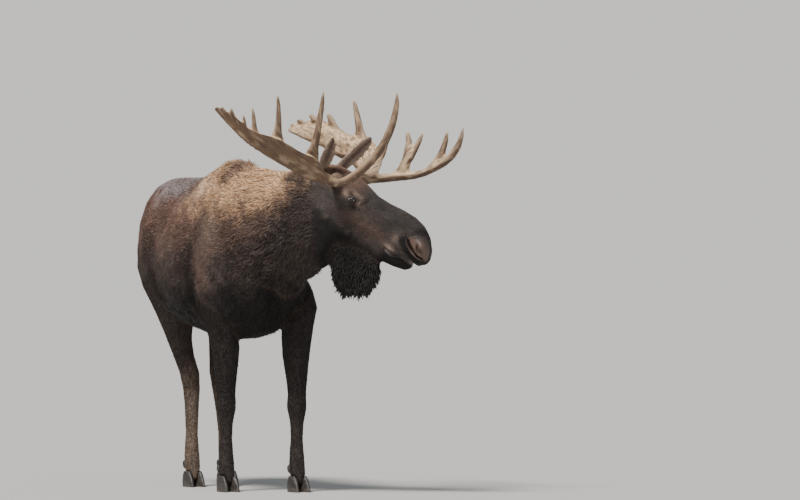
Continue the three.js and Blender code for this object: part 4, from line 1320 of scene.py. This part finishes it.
# ---- Eyes: a wet ball with a raised clear front ----
def make_eye(eye, side):
    """A ball of rings round the way the eye looks, raised in front by the height of the cornea."""
    out, ahead, up = eye_axes(side)
    around, rings = 48, 32
    tilt = np.linspace(0, np.pi, rings + 1)[1:-1, None]
    turn = np.linspace(0, 2 * np.pi, around, endpoint=False)[None]
    radius = EYE_RADIUS + CORNEA * ease(0.75, 0.35, tilt)
    wide = radius * np.sin(tilt)
    ways = np.stack(np.broadcast_arrays(wide * np.cos(turn), wide * np.sin(turn), radius * np.cos(tilt)), -1)
    ends = np.array([[0, 0, EYE_RADIUS + CORNEA], [0, 0, -EYE_RADIUS]])
    local = np.concatenate([ways.reshape(-1, 3), ends])
    points = local @ np.stack([ahead, up * side, out]) + middle_of(eye)
    grid = np.arange((rings - 1) * around).reshape(rings - 1, around)
    a, b = grid[:-1], grid[1:]
    c, d = np.roll(b, -1, 1), np.roll(a, -1, 1)
    front, back = (np.full(around, len(points) - k) for k in (2, 1))
    faces = [(a, b, c), (a, c, d), (front, grid[0], d[0]), (back, c[-1], grid[-1])]
    faces = np.concatenate([np.stack(corners, -1).reshape(-1, 3) for corners in faces])
    if face_normals(points, faces)[0] @ (points[faces[0, 0]] - middle_of(eye)) < 0:
        faces = faces[:, ::-1]
    item = new_object(f"{eye}_ball", points, faces)
    far = np.where(local[:, 2] > 0, 1, 9)  # keeps iris and pupil off the back of the ball
    store(item, "across", np.hypot(local[:, 0], local[:, 1]) * far)
    store(item, "pupil", np.hypot(local[:, 0] / 1.6, local[:, 1] / 0.9) * far)
    finished(item, EYE_MATERIAL, [eye])


def eye_material():
    """Dark brown iris, a black oblong pupil and a dull white at the rim, under a clear wet coat."""
    material, tree, shader = new_material("wet_eye")
    fleck = noise(tree, object_place(tree), 900.0, 2.0)
    iris = painted(tree, (0.012, 0.006, 0.004), (fleck, 0.35, 0.65, 1.0, (0.034, 0.017, 0.009)))
    pupil = spread_out(tree, kept(tree, "pupil"), 0.0042, 0.0050, 1.0, 0.0)
    iris = mixed(tree, pupil, iris, (0.003, 0.003, 0.004))
    white = painted(tree, iris, (kept(tree, "across"), 0.0124, 0.0142, 1.0, (0.36, 0.31, 0.30)))
    fill(tree, shader, Base_Color=white, Roughness=0.12, Specular_IOR_Level=0.2)
    fill(tree, shader, Coat_Weight=0.7, Coat_Roughness=0.03)
    return material


# ---- Hooves and dewclaws ----
def make_horn(name):
    """A claw with its facets rounded off; its flat sole stays where it is."""
    points, faces = mesh_arrays(NODES[name].data)
    for _ in range(2):
        points, faces = refined(points, faces, np.ones(len(faces), bool))
    links = links_of(faces)
    outer = points
    share = np.where(points[:, 2] < 0.004, 0.0, 0.5)
    points = blurred(points, links, 10, share)
    normals = point_normals(points, faces)
    lost = blurred(dot(outer - points, normals), links, 6)
    rings = 0.0005 * np.sin(points[:, 2] * 2 * np.pi / 0.0085 + 2 * waves(points, 0.05, 5))
    points = points + normals * ((lost + rings) * (share > 0))[:, None]
    finished(new_object(f"{name}_horn", points, faces), HORN_MATERIAL, [name])


def horn_material():
    """Dull black horn with level growth rings, scuffed and greyer near the ground."""
    material, tree, shader = new_material("hoof_horn")
    place = object_place(tree)
    height = node(tree, "ShaderNodeSeparateXYZ", Vector=place).outputs["Z"]
    flat = node(tree, "ShaderNodeMapping", Vector=place, Scale=(14.0, 14.0, 260.0)).outputs["Vector"]
    streaks = noise(tree, flat, 1.0)
    scuffs = noise(tree, place, 70.0, 4.0)
    base = painted(tree, (0.014, 0.012, 0.011), (streaks, 0.35, 0.65, 1.0, (0.050, 0.043, 0.038)))
    low = spread_out(tree, height, 0.045, 0.0, 0.0, 0.6)
    worn = times(tree, low, spread_out(tree, scuffs, 0.40, 0.62, 0.0, 1.0))
    base = mixed(tree, worn, base, (0.16, 0.135, 0.11))
    rough = spread_out(tree, scuffs, 0.3, 0.7, 0.38, 0.68)
    fill(tree, shader, Base_Color=base, Roughness=rough, Normal=bumped(tree, streaks, 0.4, 0.001))
    return material


ANTLER_MATERIAL = antler_material()
EYE_MATERIAL = eye_material()
HORN_MATERIAL = horn_material()

# Each coat: its piece, its regions, its slot, the rings of a tuft and the seed.
COATS = [
    ("coat_trunk", ["trunk"], "trunk_coat", 2, 11),
    ("coat_mane", ["neck"], "mane_coat", 3, 12),
    ("coat_head", ["head"], "head_coat", 2, 13),
    ("coat_legs", ["foreleg", "hindleg"], "leg_coat", 2, 14),
    ("coat_bell", ["bell"], "bell_coat", 3, 15),
    ("coat_tail", ["tail"], "trunk_coat", 3, 16),
    ("coat_ears", ["ear"], "ear_coat", 2, 17),
]

skin = make_skin()
show_skin(skin)
for coat in COATS:
    grow_coat(skin, *coat)
make_antler("left", 31)
make_antler("right", 32)
for eye, side in EYES.items():
    make_eye(eye, side)
for name in NODES:
    if "hoof" in name or "dewclaw" in name:
        make_horn(name)
